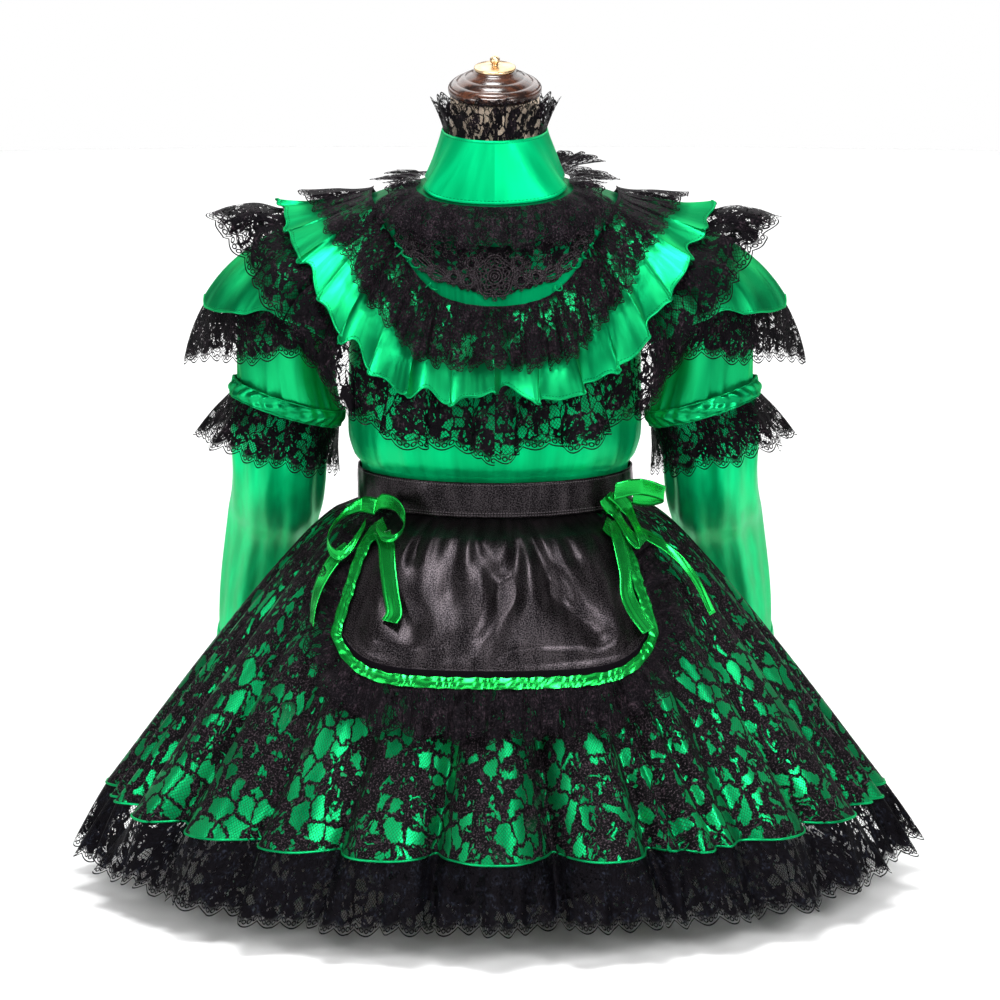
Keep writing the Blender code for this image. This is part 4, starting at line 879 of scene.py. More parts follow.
def makeCollarLace():
    waves = collarSize["waves"]
    ring = angles(waves * 26)
    low = collarRim(ring, 0.0002, 0.0008)
    phase = ring * waves + 0.35 * np.sin(3 * ring)
    swing = foldWave(phase, 0.3) * (1 + 0.25 * np.sin(5 * ring + 1))
    reach = collarSize["laceReach"] + 0.0046 * swing
    turn = ring + 0.055 * np.sin(2 * phase) * 0.6                    # folds lean over their neighbours
    top = (collarSize["laceTop"] + 0.0035 * np.cos(ring * 2) - 0.0025 * np.cos(ring)
           + 0.0022 * np.cos(phase * 2))
    high = oval(turn, reach, reach - collarSize["forward"], top, collarSize["forward"])
    out = np.stack([np.sin(ring), -np.cos(ring), np.zeros(len(ring))], axis=-1)

    def row(t):
        flare = t ** 0.8 * 0.35 + t ** 1.8 * 0.65
        here = low + (high - low) * np.array([1, 1, 0]) * flare + (high - low) * np.array([0, 0, 1]) * t
        return here + out * (0.0008 * swing * math.sin(math.pi * t))[:, None]

    addCloth("collarStandingLace", sweep(row, 0, 1, 18)[:, ::-1], "collarLace", "collar_lace",
             "collar", True, measured=1.0)


neckRuffle = table(
    "angle edge lift",
    (-180, 0.836, 0.010), (-120, 0.839, 0.010), (-90, 0.8400, 0.007), (-62, 0.8330, 0.007),
    (-50, 0.8180, 0.008), (-38, 0.7920, 0.009), (0, 0.7740, 0.010), (38, 0.7920, 0.009),
    (50, 0.8180, 0.008), (62, 0.8330, 0.007), (90, 0.8400, 0.008), (125, 0.8400, 0.036),
    (150, 0.8370, 0.032), (180, 0.836, 0.010),
)
neckWaves = {"main": 10, "fine": 30}


def makeNeckRuffle():
    ring = angles(720, -180, 180)
    turn = np.degrees(ring)
    main = 1 + foldWave(ring * neckWaves["main"], 0.2)
    fine = 1 + pleat(ring * neckWaves["fine"] + 0.8 * np.sin(4 * ring), 0.45)
    start = edgeAt(ring, "collar") - 0.0030
    edge = (smoothCurve(neckRuffle, "angle", "edge")(turn)
            + 0.0034 * np.cos(ring * 18 + 1.4 * np.sin(3 * ring)) - 0.0030 * fine)
    lift = smoothCurve(neckRuffle, "angle", "lift")(turn)
    calm = 1 - 0.80 * np.clip((np.abs(turn) - 95) / 25, 0, 1)

    def row(share):
        over = (ease + satinWall + 0.0034 + (lift - 0.003) * share ** 0.7
                + calm * (0.0046 * main * share + 0.0030 * fine * min(share * 3, 1)))
        return onBody(ring, start + (edge - start) * share, over)

    addCloth("neckRuffleLace", sweep(row, 0, 1, 22), "neckLace", "neck_ruffle",
             "yoke_front yoke_back", True, measured=1.0)


# Yoke and bodice
bodiceTable = table(
    "z beyond",
    (0.480, 0.0066), (0.509, 0.0070), (0.524, 0.0145), (0.548, 0.0190), (0.590, 0.0140), (0.640, 0.0070),
    (0.690, 0.0030), (0.860, 0.0027),
)
bodiceFolds = {"count": 26, "deep": 0.0022, "upTo": 0.600, "waistSeam": 0.4866, "seamDip": 0.0011}
yokeParts = {"yokeFrontCloth": ("yoke_front", -90, 90), "yokeBackCloth": ("yoke_back", 90, 270)}
bodiceParts = {"bodiceFrontCloth": ("bodice_front", -90, 90),
               "bodiceBackLeftCloth": ("bodice_back_left", 90, 180),
               "bodiceBackRightCloth": ("bodice_back_right", 180, 270)}


def makeYoke():
    for name, (node, start, end) in yokeParts.items():
        turn = angles(112, start + 0.05, end - 0.05, False)
        low = np.maximum(edgeAt(turn, "yoke"), edgeAt(turn, "bodice") + seamGap)
        high = edgeAt(turn, "collar") + 0.0035
        lift = ease + satinWall * 0.6
        grid = sweep(lambda share: onBody(turn, high + (low - high) * share, lift), 0, 1, 30)
        addCloth(name, grid, "yokeCloth", node, "form_torso")


def makeBodice():
    beyond = smoothCurve(bodiceTable, "z", "beyond")
    waist = bodiceFolds["waistSeam"]
    for name, (node, start, end) in bodiceParts.items():
        turn = angles(224 if end - start > 100 else 112, start + 0.05, end - 0.05, False)
        high = edgeAt(turn, "bodice")
        gather = 0.5 + 0.5 * foldWave(turn * bodiceFolds["count"] + 1.6 * np.sin(3 * turn + 0.5), 0.3)
        gather = gather * (0.65 + 0.35 * np.sin(7 * turn + 1))
        seamDip = sum(np.exp(-((np.degrees(turn) - a) / 1.1) ** 2) for a in (-90, 90, 180, 270))

        def row(share):
            z = high + (waist - high) * share
            puff = np.clip((z - 0.500) / 0.020, 0, 1) * np.clip((bodiceFolds["upTo"] - z) / 0.050, 0, 1)
            reach = (beyond(z) - satinWall * 0.5 + bodiceFolds["deep"] * gather * puff
                     - bodiceFolds["seamDip"] * seamDip)
            here = onBody(turn, z, reach)
            here[:, 2] = np.maximum(here[:, 2], waist)
            return here

        addCloth(name, sweep(row, 0, 1, 46), "bodiceSatin", node, "form_torso")


makeCollar()
makeCollarLace()
makeNeckRuffle()
makeYoke()
makeBodice()
print("collar, yoke and bodice made")


# Bertha: three flounces from the yoke seam. Each row: seam, reach of the top lace, satin edge, lace edge
berthaTable = table(
    "angle z top satin lace",
    (0, 0.7070, 0.76, (0.000, -0.178, 0.622), (0.000, -0.184, 0.551)),
    (15, 0.7125, 0.76, (0.048, -0.176, 0.611), (0.049, -0.182, 0.550)),
    (26, 0.7270, 0.66, (0.109, -0.166, 0.625), (0.115, -0.172, 0.567)),
    (37, 0.7620, 0.60, (0.155, -0.149, 0.661), (0.158, -0.154, 0.587)),
    (45, 0.7960, 0.58, (0.198, -0.121, 0.714), (0.224, -0.137, 0.664)),
    (60, 0.8210, 0.62, (0.230, -0.076, 0.763), (0.280, -0.092, 0.733)),
    (90, 0.8300, 0.72, (0.252, -0.006, 0.798), (0.334, -0.008, 0.794)),
    (120, 0.8210, 0.62, (0.230, 0.070, 0.766), (0.280, 0.088, 0.735)),
    (136, 0.7970, 0.58, (0.196, 0.116, 0.716), (0.222, 0.133, 0.666)),
    (146, 0.7720, 0.60, (0.152, 0.146, 0.664), (0.156, 0.153, 0.592)),
    (162, 0.7480, 0.70, (0.086, 0.160, 0.634), (0.090, 0.168, 0.566)),
    (180, 0.7440, 0.74, (0.000, 0.164, 0.628), (0.000, 0.172, 0.560)),
)
berthaSize = {"waves": 16, "perWave": 54, "laceRows": 40, "satinRows": 30, "topRows": 24, "fold": 1.30}
# how far the shoulders of the flounces stand over a plain line, by share of the way out
shoulderTable = table(
    "share lift",
    (-0.10, 0.000), (0.0, 0.000), (0.5, 0.005), (1.0, 0.006), (1.4, 0.013), (1.7, 0.008), (2.0, -0.003),
    (2.2, -0.006),
)
shoulderLift = smoothCurve(shoulderTable, "share", "lift")


def berthaRing(columns):
    lift = ease + satinWall + 0.0008
    seams = [onBody(math.radians(row["angle"]), row["z"], lift) for row in berthaTable]
    half = np.array([[*seam, row["top"], *row["satin"], *row["lace"]]
                     for seam, row in zip(seams, berthaTable)])
    other = half[-2:0:-1].copy()
    other[:, [0, 4, 7]] *= -1
    ring = np.vstack([half, other])
    count = len(ring)
    dense = spline(np.vstack([ring[-2:], ring, ring[:3]]), np.linspace(0, count, count * 24 + 1) + 2)
    length = lengthsAlong(dense[:, 4:7])
    even = np.linspace(0, length[-1], columns + 1)[:-1]
    read = np.stack([np.interp(even, length, dense[:, i]) for i in range(10)], axis=-1)
    return read[:, 0:3], read[:, 3], read[:, 4:7], read[:, 7:10]


def threePoint(seam, middle, edge, share):
    first = np.linalg.norm(middle - seam, axis=1)
    second = np.linalg.norm(edge - middle, axis=1)
    m = first / (first + second)
    s = np.where(share <= 1, m * share, m + (1 - m) * (share - 1))
    a = ((s - m) * (s - 1) / m)[:, None]
    b = (s * (s - 1) / (m * (m - 1)))[:, None]
    c = (s * (s - m) / (1 - m))[:, None]
    return a * seam + b * middle + c * edge


def stackedLayers(seam, middle, edge, layers, closed):
    # each layer stands over the one below: gap and swing are read by share of the way down
    grids = []
    for number, layer in enumerate(layers):
        shares = layer["shares"]
        base = np.array([threePoint(seam, middle, edge, share) for share in shares])
        if closed:
            shoulder = np.interp(np.abs(middle[:, 0]), (0.16, 0.24), (0.0, 1.0))
            base[..., 2] += shoulder * shoulderLift(np.clip(shares, -0.1, 2.2))
        height = np.zeros(shares.shape)
        for below in layers[:number + 1]:
            swing = np.interp(shares, below["at"], below["swing"])
            wave = below["wave"] if below is layer else below.get("over", below["wave"])
            gap = np.interp(shares, below["at"], below["gap"])
            height = height + gap + below["size"] * swing * (1 + wave)
            if below is not layer:
                height = height + below["wall"]
        height = height + layer["wall"] * 0.5
        side = np.interp(shares, layer["at"], layer["swing"]) * layer["lean"]
        across = unit(slopes(base, closed))
        grids.append(base + gridNormals(base, closed) * height[..., None] + across * side[..., None])
    return grids


def makeBertha():
    waves, fold = berthaSize["waves"], berthaSize["fold"]
    columns = waves * berthaSize["perWave"]
    seam, top, satin, lace = berthaRing(columns)
    turn = tau * np.arange(columns) / columns
    phase = waves * turn
    wave = foldWave(phase, 0.22) * (1 + 0.25 * np.sin(3 * turn + 0.5))
    sideWave = (0.62 * pleat(phase + 0.5 * math.pi, 0.45)
                + 0.38 * pleat(2 * phase + 1.2 + 0.9 * np.sin(3 * turn), 0.50))
    fine = 0.22 * pleat(3 * phase + 1.1 * np.sin(2 * turn), 0.5) + 0.12 * np.cos(5 * phase + 2.0)
    small = 0.45 * pleat(4 * phase + 1.6 * np.sin(5 * turn), 0.45) + 0.10 * np.cos(9 * phase + 1.0)

    def rows(count, last, dip):
        share = np.linspace(0, 1, count)[:, None]
        return share * (last + dip[None, :] * share ** 2)

    def folded(*swing):
        return tuple(fold * v for v in swing)

    def size(least):
        return np.interp(np.abs(satin[:, 0]), (0.12, 0.235), (1.0, least))

    under = dict(
        shares=rows(berthaSize["laceRows"], 2.0, 0.06 * wave + 0.03 * fine), at=(0.0, 0.7, 1.0, 2.0),
        wall=laceWall, swing=folded(0.0, 0.0035, 0.0060, 0.0120), gap=(0.0004, 0.0012, 0.0012, 0.0012),
        size=size(0.45), wave=wave + fine, over=wave + 0.25, lean=0.9 * np.sin(2 * phase))
    flounce = dict(
        shares=rows(berthaSize["satinRows"], 1.0, 0.085 * sideWave), at=(0.0, 0.7, 1.0, 2.0),
        wall=satinWall, swing=folded(0.0, 0.0034, 0.0070, 0.0070), gap=(seamGap, 0.0014, 0.0026, 0.0026),
        size=size(0.45), wave=sideWave, lean=1.3 * np.sin(2 * phase + math.pi))
    upper = dict(
        shares=np.linspace(-0.05, 1, berthaSize["topRows"])[:, None]
        * (top * (1 + 0.06 * wave + 0.09 * small)),
        at=(0.0, 0.35, 0.75, 2.0), wall=laceWall, swing=folded(0.0003, 0.0034, 0.0056, 0.0056),
        gap=(0.0006, 0.0014, 0.0016, 0.0016), size=size(0.80), wave=(wave + small) / 1.4,
        lean=0.6 * np.sin(2 * phase) + 0.35 * np.sin(4 * phase))
    under, flounce, upper = stackedLayers(seam, satin, lace, [under, flounce, upper], True)
    addCloth("berthaUnderLace", under, "berthaLace", "bertha_lace", "bodice_front", True,
             measured=0.6)
    hem = rollHem("berthaFlounceHem", flounce[-1], 0.0011, True)
    addCloth("berthaFlounce", flounce, "greenHemmed", "bertha_satin", "bertha_lace", True,
             measured=0.8)
    addCloth("berthaUpperLace", upper, "topLace", "bertha_top_lace", "bertha_satin", True,
             measured=0.9)


makeBertha()
print("bertha made")


# Sleeves: puff, gathered band, frill, long sleeve and cuff, and the cap flounces over them
capTable = table(
    "angle satin lace",
    (-112, (0.186, 0.103, 0.668), (0.187, 0.106, 0.615)),
    (-80, (0.229, 0.105, 0.690), (0.236, 0.110, 0.648)),
    (-42, (0.298, 0.076, 0.698), (0.308, 0.084, 0.638)),
    (0, (0.336, -0.004, 0.695), (0.350, -0.005, 0.632)),
    (42, (0.298, -0.076, 0.698), (0.308, -0.084, 0.638)),
    (80, (0.229, -0.101, 0.690), (0.236, -0.106, 0.648)),
    (112, (0.186, -0.098, 0.664), (0.187, -0.102, 0.606)),
)
bandSize = {"middle": (0.2483, 0.0, 0.5835), "lean": 73, "half": 0.0095, "tall": 0.0700, "deep": 0.0660,
            "wall": 0.0022}
puffTable = table(
    "x z lean tall deep",
    (0.2060, 0.7280, 22, 0.0580, 0.0800), (0.2330, 0.7060, 52, 0.0620, 0.0830),
    (0.2480, 0.6700, 66, 0.0640, 0.0800), (0.2490, 0.6320, 71, 0.0640, 0.0710),
)
frillTable = table(
    "x z lean tall deep swing",
    (0.2514, 0.5735, 73, 0.0692, 0.0652, 0.0), (0.2620, 0.5480, 74, 0.0770, 0.0800, 0.0030),
    (0.2710, 0.5180, 76, 0.0860, 0.0930, 0.0066),
)
sleeveTable = table(
    "x y z wide deep",
    (0.2570, 0.001, 0.5360, 0.0605, 0.0550), (0.2600, 0.015, 0.5040, 0.0575, 0.0500),
    (0.2660, 0.070, 0.4580, 0.0555, 0.0480), (0.2740, 0.145, 0.4150, 0.0550, 0.0470),
    (0.2900, 0.236, 0.3250, 0.0555, 0.0440), (0.3050, 0.308, 0.2380, 0.0500, 0.0400),
)
sleeveSize = {"frillWaves": 8, "capWaves": 4, "cuffLength": 0.026, "puffGathers": 22, "bandGathers": 26}


def armhole(angle, grow, lift=0.0):
    turn = math.radians(90) - np.sin(angle) * math.radians(39 + 100 * grow)
    height = 0.7345 + (0.0715 + grow) * np.cos(angle)
    return onBody(turn, height, 0.0036 + 0.0044 * (1 - np.cos(angle)) / 2 + lift)


def ringAt(row, angle, grow=0.0):
    lean = math.radians(row["lean"])
    up = np.array([math.sin(lean), 0, math.cos(lean)])
    front = np.array([0, -1, 0])
    return (np.array([row["x"], 0.0, row["z"]]) + np.outer(np.cos(angle) * (row["tall"] + grow), up)
            + np.outer(np.sin(angle) * (row["deep"] + grow), front))


bandLean = math.radians(bandSize["lean"])
bandAxis = np.array([math.cos(bandLean), 0, -math.sin(bandLean)])


def bandMiddle(place):
    return np.array(bandSize["middle"]) + bandAxis * place


def bandRing(place, angle, grow):
    x, y, z = bandMiddle(place)
    return ringAt({**bandSize, "x": x, "z": z}, angle, grow)


def splineRings(rings, count):
    flat = np.array(rings).reshape(len(rings), -1)
    return spline(flat, np.linspace(0, len(rings) - 1, count)).reshape(count, -1, 3)


def sleeveRing(middle, along, wide, deep, angle):
    along = along / np.linalg.norm(along)
    across = np.array([1.0, 0, 0]) - along * along[0]
    across /= np.linalg.norm(across)
    other = np.cross(along, across)
    return middle + np.outer(np.cos(angle) * wide, across) + np.outer(np.sin(angle) * deep, other)


def makePuff(side, tag):
    ring, count = angles(176), 46
    tuck = -bandSize["wall"] - seamGap - 0.0010
    rings = [armhole(ring, 0.0009)] + [ringAt(row, ring, -0.0009) for row in puffTable]
    rings += [bandRing(place, ring, tuck) for place in (-bandSize["half"] - 0.002, -0.0002)]
    grid = splineRings(rings, count)
    share = np.linspace(0, 1, count)[:, None]
    gather = foldWave(ring * sleeveSize["puffGathers"] + 1.8 * np.sin(3 * ring), 0.3)
    gather = gather * (0.55 + 0.45 * np.sin(5 * ring + 1.0))
    top = np.exp(-(share / 0.20) ** 2) * np.clip(share / 0.04, 0, 1)
    foot = np.exp(-((share - 0.92) / 0.20) ** 2) * np.clip((1 - share) / 0.10, 0, 1)
    broad = (0.8 + np.sin(5 * ring + 0.6 + 3 * share)) * np.sin(math.pi * share) * 0.0038
    grid = grid + gridNormals(grid, True) * (0.0018 * (0.7 - gather) * (top + foot) + broad)[..., None]
    addCloth("puff" + tag.capitalize(), mirrored(grid[:, ::-1], side), "greenSatin", "puff_" + tag,
             "bodice_front", True)


def makeBand(side, tag):
    ring = angles(220)

    def row(place):
        t = place / bandSize["half"]
        ruche = (1 - t * t) ** 0.5 * 0.0022
        crease = 0.0014 * np.sin(ring * sleeveSize["bandGathers"] + 2.2 * np.sin(2 * ring + 2 * t) + 1.5 * t)
        crease = crease * (1 - 0.5 * abs(t)) + 0.0010 * np.sin(ring * 9 + 4 * t)
        return bandRing(place, ring, -bandSize["wall"] * 0.6 + ruche + crease)

    grid = mirrored(sweep(row, -bandSize["half"], bandSize["half"], 14)[:, ::-1], side)
    name = tag.capitalize()
    rims = [rollHem("puffBandRim%s%d" % (name, i), grid[-i], 0.0012, True) for i in (0, 1)]
    addCloth("puffBand" + name, grid, "greenSatin", "puff_band_" + tag, "puff_" + tag, True,
             measured=0.5)


def makeFrill(side, tag):
    waves, count = sleeveSize["frillWaves"], 24
    ring = angles(waves * 30)
    inward = 0.35 + 0.65 * (1 + np.cos(ring)) / 2
    phase = ring * waves
    base = splineRings([ringAt(row, ring) for row in frillTable], count)
    swing = np.interp(np.linspace(0, 2, count), (0, 1, 2), column(frillTable, "swing"))[:, None]
    wave = foldWave(phase, 0.3) + 0.25 * np.cos(3 * phase + 0.7)
    edge = np.linspace(0, 1, count)[:, None] ** 3
    grid = base - gridNormals(base, True) * (swing * (wave * inward) * 1.15 - 0.0008)[..., None]
    grid = grid + bandAxis * (edge * (0.0035 * np.cos(phase + 1.0)))[..., None]
    addCloth("puffFrill" + tag.capitalize(), mirrored(grid[:, ::-1], side), "frillLace", "puff_lace_" + tag,
             "puff_band_" + tag, True, measured=0.9)


def makeLongSleeve(side, tag):
    ring, count = angles(128), 64
    tuck = -bandSize["wall"] - seamGap - 0.0030
    middle = np.stack([column(sleeveTable, key) for key in "xyz"], axis=-1)
    along = np.gradient(middle, axis=0)
    along[0] = along[0] / np.linalg.norm(along[0]) + bandAxis
    end = along[-1] / np.linalg.norm(along[-1])
    rings = [sleeveRing(bandMiddle(place), bandAxis, bandSize["tall"] + tuck, bandSize["deep"] + tuck, ring)
             for place in (0.0002, bandSize["half"] + 0.001)]
    rings += [sleeveRing(middle[i], along[i], row["wide"] - 0.0009, row["deep"] - 0.0009, ring)
              for i, row in enumerate(sleeveTable)]
    grid = splineRings(rings, count)
    share = np.linspace(0, 1, count)[:, None]
    bell = np.clip((share - 0.10) / 0.15, 0, 1) * np.clip((1 - share) / 0.10, 0, 1)
    ripple = (0.0016 * np.sin(7 * ring + 4 * share + 0.5) + 0.0010 * np.sin(13 * ring - 3 * share)
              + 0.0012 * np.sin(3 * ring + 16 * share)) * bell
    grid = grid + gridNormals(grid, True) * ripple[..., None]
    name = tag.capitalize()
    addCloth("sleeve" + name + "Cloth", mirrored(grid, side), "sleeveSatin", "sleeve_" + tag,
             "puff_band_" + tag, True, measured=0.5)
    last, length = sleeveTable[-1], sleeveSize["cuffLength"]

    def row(far):
        grow = 0.0006 * math.sin(math.pi * far / length) - 0.0004
        return sleeveRing(middle[-1] + end * far, end, last["wide"] + grow, last["deep"] + grow, ring)

    addCloth("cuff" + name + "Cloth", mirrored(sweep(row, seamGap, length, 10), side), "cuffSatin",
             "cuff_" + tag, "sleeve_" + tag, True, 0.0018)


def makeCap(side, tag):
    waves = sleeveSize["capWaves"]
    columns = waves * 44 + 1
    rows = np.array([[row["angle"], *row["satin"], *row["lace"]] for row in capTable], float)
    read = spline(rows, np.linspace(0, len(capTable) - 1, columns))[::-1]
    seam = armhole(np.radians(read[:, 0]), 0.004, 0.0006)
    phase = tau * waves * np.linspace(0, 1, columns)[::-1]
    wave = foldWave(phase, 0.25) + 0.14 * np.cos(3 * phase + 0.6)
    other = -foldWave(phase, 0.25) + 0.10 * np.cos(3 * phase)

    def shares(count, last, dip):
        share = np.linspace(0, 1, count)[:, None]
        return share * (last + dip * share ** 2)

    layers = [
        dict(shares=shares(34, 2.0, 0.07 * wave), at=(0.0, 0.5, 1.0, 2.0),
             swing=(0.0, 0.0016, 0.0050, 0.0092), size=1.0, gap=(seamGap, 0.0004, 0.0004, 0.0004),
             wall=laceWall, wave=wave, lean=0.5 * np.sin(2 * phase)),
        dict(shares=shares(24, 1.0, -0.05 * wave), at=(0.0, 0.5, 1.0, 2.0),
             swing=(0.0, 0.0012, 0.0042, 0.0042), size=1.0, gap=(seamGap, 0.0006, 0.0020, 0.0020),
             wall=satinWall, wave=other, lean=-0.6 * np.sin(2 * phase)),
    ]
    grids = stackedLayers(seam, read[:, 1:4], read[:, 4:7], layers, False)
    lace, satin = (mirrored(grid, side) for grid in grids)
    name = "cap" + tag.capitalize()
    addCloth(name + "Lace", lace, "capLace", "cap_lace_" + tag, "puff_" + tag)
    hem = rollHem(name + "Hem", satin[-1], 0.0011)
    addCloth(name + "Flounce", satin, "greenHemmed", "cap_satin_" + tag, "cap_lace_" + tag)


for side, tag in ((1, "left"), (-1, "right")):
    for make in (makePuff, makeBand, makeFrill, makeLongSleeve, makeCap):
        make(side, tag)
print("sleeves made")


# Skirt with the lace laid on it, and the lace ruffle at its hem
skirtTable = table(
    "z side swing",
    (0.4860, 0.1590, 0.0000), (0.4650, 0.1600, 0.0002), (0.4480, 0.1960, 0.0035), (0.4000, 0.2450, 0.0060),
    (0.3000, 0.3260, 0.0095), (0.1160, 0.4620, 0.0145),
)
# deep folds: angle at the hem and at the waist, depth, half width, how far up they reach
skirtCreases = table(
    "angle up deep wide reach",
    (-9.0, -5.0, 0.013, 1.5, 0.40), (9.2, 6.0, 0.012, 1.6, 0.34), (24.0, 19.0, 0.011, 1.9, 0.42),
    (28.5, 22.0, 0.009, 1.3, 0.30), (34.0, 27.0, 0.011, 1.7, 0.44), (-24.0, -19.0, 0.009, 1.6, 0.36),
    (-38.0, -31.0, 0.010, 1.9, 0.45), (-57.0, -50.0, 0.009, 2.0, 0.40), (55.0, 49.0, 0.010, 2.1, 0.43),
    (76.0, 73.0, 0.009, 2.0, 0.36), (-77.0, -74.0, 0.009, 1.9, 0.42), (104.0, 106.0, 0.010, 2.1, 0.43),
    (127.0, 132.0, 0.011, 1.8, 0.38), (149.0, 154.0, 0.010, 1.9, 0.44), (168.0, 171.0, 0.012, 1.6, 0.36),
    (-104.0, -107.0, 0.009, 2.0, 0.41), (-128.0, -133.0, 0.010, 1.9, 0.45),
    (-151.0, -156.0, 0.011, 1.7, 0.37), (-170.0, -173.0, 0.010, 1.8, 0.42),
)
skirtSize = {"ratio": 0.81, "folds": 24, "hem": 0.116, "laceHem": 0.038, "laceOut": 0.0395,
             "laceWave": 0.0110, "hemWaves": 32, "gathers": 120, "creases": 1.7}
skirtSmooth = smoothCurve(skirtTable, "z", "side")
skirtSwing = smoothCurve(skirtTable, "z", "swing")


def skirtSide(z):
    rows = skirtTable[::-1]
    return np.maximum(skirtSmooth(z), np.interp(z, column(rows, "z"), column(rows, "side")))


def foldSize(turn):
    return 1 + 0.22 * np.sin(5 * turn + 0.7) + 0.10 * np.sin(11 * turn)


def onSkirt(angle, z, beyond):
    side = skirtSide(z)
    return oval(angle, side + beyond, skirtSize["ratio"] * side + beyond, z)


def creaseDepth(angle, z):
    # listed troughs, deepest at the hem, fading on the way up
    total = np.zeros(np.shape(angle))
    for row in skirtCreases:
        down = np.clip((row["reach"] - z) / (row["reach"] - skirtSize["hem"]), 0, 1)
        share = np.clip((z - skirtSize["hem"]) / 0.35, 0, 1)
        centre = np.radians(row["angle"] * (1 - share) + row["up"] * share)
        away = (angle - centre + math.pi) % tau - math.pi
        trough = np.exp(-(away / math.radians(0.75 * row["wide"])) ** 2)
        total = total + skirtSize["creases"] * row["deep"] * down ** 0.8 * trough
    return total


def skirtBeyond(turn, angle, z):
    folds = skirtSize["folds"] * turn
    fold = skirtSwing(z) * (np.cos(folds) - 0.20 * np.cos(2 * folds)) * foldSize(turn)
    gathered = np.clip((0.466 - z) / 0.012, 0, 1) * np.clip((z - 0.33) / 0.10, 0, 1) ** 1.5
    fine = 0.0014 * gathered * np.cos(skirtSize["gathers"] * turn + 1.4 * np.sin(9 * turn))
    return fold + fine - creaseDepth(angle, z) - 0.0006


def makeSkirt(name, facing):
    tag, hemLine = name.capitalize(), skirtSize["hem"]
    middle = 0 if facing < 0 else math.pi
    turn = np.linspace(-0.5, 0.5, 481) * math.pi + middle
    angle = turn + 0.045 * np.sin(2 * turn) + 0.012 * np.sin(6 * turn)
    heights = np.concatenate([np.linspace(0.4855, 0.4660, 5), np.linspace(0.4650, 0.4000, 26)[:-1],
                              np.linspace(0.4000, hemLine - 0.0002, 58)])
    inset = np.exp(-(np.minimum(turn - turn[0], turn[-1] - turn) / 0.012) ** 2)
    grid = np.array([onSkirt(angle, z, skirtBeyond(turn, angle, z) - 0.0012 * inset * (z < 0.46))
                     for z in heights])
    grid[:, [0, -1], 1] += facing * 0.0002
    hem = rollHem("skirt%sHem" % tag, grid[-1], 0.0015)
    addCloth("skirt%sCloth" % tag, grid, "skirtLace", "skirt_" + name, "waistband",
             measured=0.7)

    waves = skirtSize["hemWaves"] // 2
    share = np.linspace(0, 1, waves * 30 + 1)
    span = np.pi * (-0.5 if facing < 0 else 0.5) + np.pi * share
    topFold = np.interp(span, angle, skirtBeyond(turn, angle, hemLine))
    creased = np.interp(span, angle, creaseDepth(angle, hemLine))
    phase = waves * tau * share
    wave = foldWave(phase, 0.25) * (1 + 0.25 * np.sin(9 * span))
    fine = 0.0022 * np.cos(3 * phase + 1.2 * np.sin(5 * span)) + 0.0012 * np.cos(5 * phase + 2.0)
    mean = skirtSwing(hemLine) * np.interp(span, angle, foldSize(turn) * np.cos(skirtSize["folds"] * turn))
    low = skirtSize["laceOut"] + skirtSize["laceWave"] * wave + 0.35 * mean - 0.5 * creased
    bottom = skirtSize["laceHem"] + 0.004 * np.sin(5 * span + 1.0) + 0.003 * np.cos(phase + 0.8)
    lean = 0.008 * np.sin(2 * phase)

    def row(t):
        out = (-0.0024 - 0.0034 * (1 - t) ** 3 + (topFold + 0.0006) * (1 - t) + low * t
               + fine * math.sin(math.pi * min(t * 0.62, 1)) * (0.4 + t))
        here = onSkirt(span + lean * t * 0.6, hemLine, out + 0.0022 * t)
        here[:, 2] = hemLine + 0.006 + (bottom - hemLine - 0.006) * t
        return here

    grid = sweep(row, 0, 1, 20)
    grid[:, [0, -1], 1] += facing * 0.0002
    addCloth("hemRuffle" + tag, grid, "hemLace", "hem_lace_" + name, "skirt_" + name,
             measured=1.0)


waistSize = {"top": 0.5075, "bottom": 0.4655, "across": 0.1616, "deep": 0.1322}


def makeWaistband():
    ring = angles(240)

    def row(t):
        soft = (0.0005 * np.sin(11 * ring + 5 * t) * math.sin(math.pi * t)
                + 0.0004 * np.sin(29 * ring - 4 * t))
        grow = 0.0006 - 0.0002 * t + 0.0012 + 0.0008 * math.sin(math.pi * t) + soft
        return oval(ring, waistSize["across"] + grow, waistSize["deep"] + grow,
                    waistSize["top"] + (waistSize["bottom"] - waistSize["top"]) * t)

    addCloth("waistbandSatin", sweep(row, 0, 1, 22), "waistSatin", "waistband",
             "bodice_front skirt_front", True, 0.0018, measured=0.5)


makeSkirt("front", -1)
makeSkirt("back", 1)
makeWaistband()
print("skirt and waistband made")


# Apron with its ribbon and lace, laid on the skirt in front view
apronTable = table("z wide", (0.4650, 0.118), (0.4400, 0.150), (0.3900, 0.170), (0.3460, 0.184),
                   (0.3000, 0.193))
apronSize = {"top": 0.465, "bottom": 0.302, "corner": 0.042, "ribbon": 0.0115, "waves": 16, "folds": 1.2,
             "puff": 0.0100, "gathers": 0.0017}
apronLaceTable = table("place reach", (0.00, 0.016), (0.12, 0.036), (0.27, 0.049), (0.36, 0.056),
                       (0.50, 0.058))
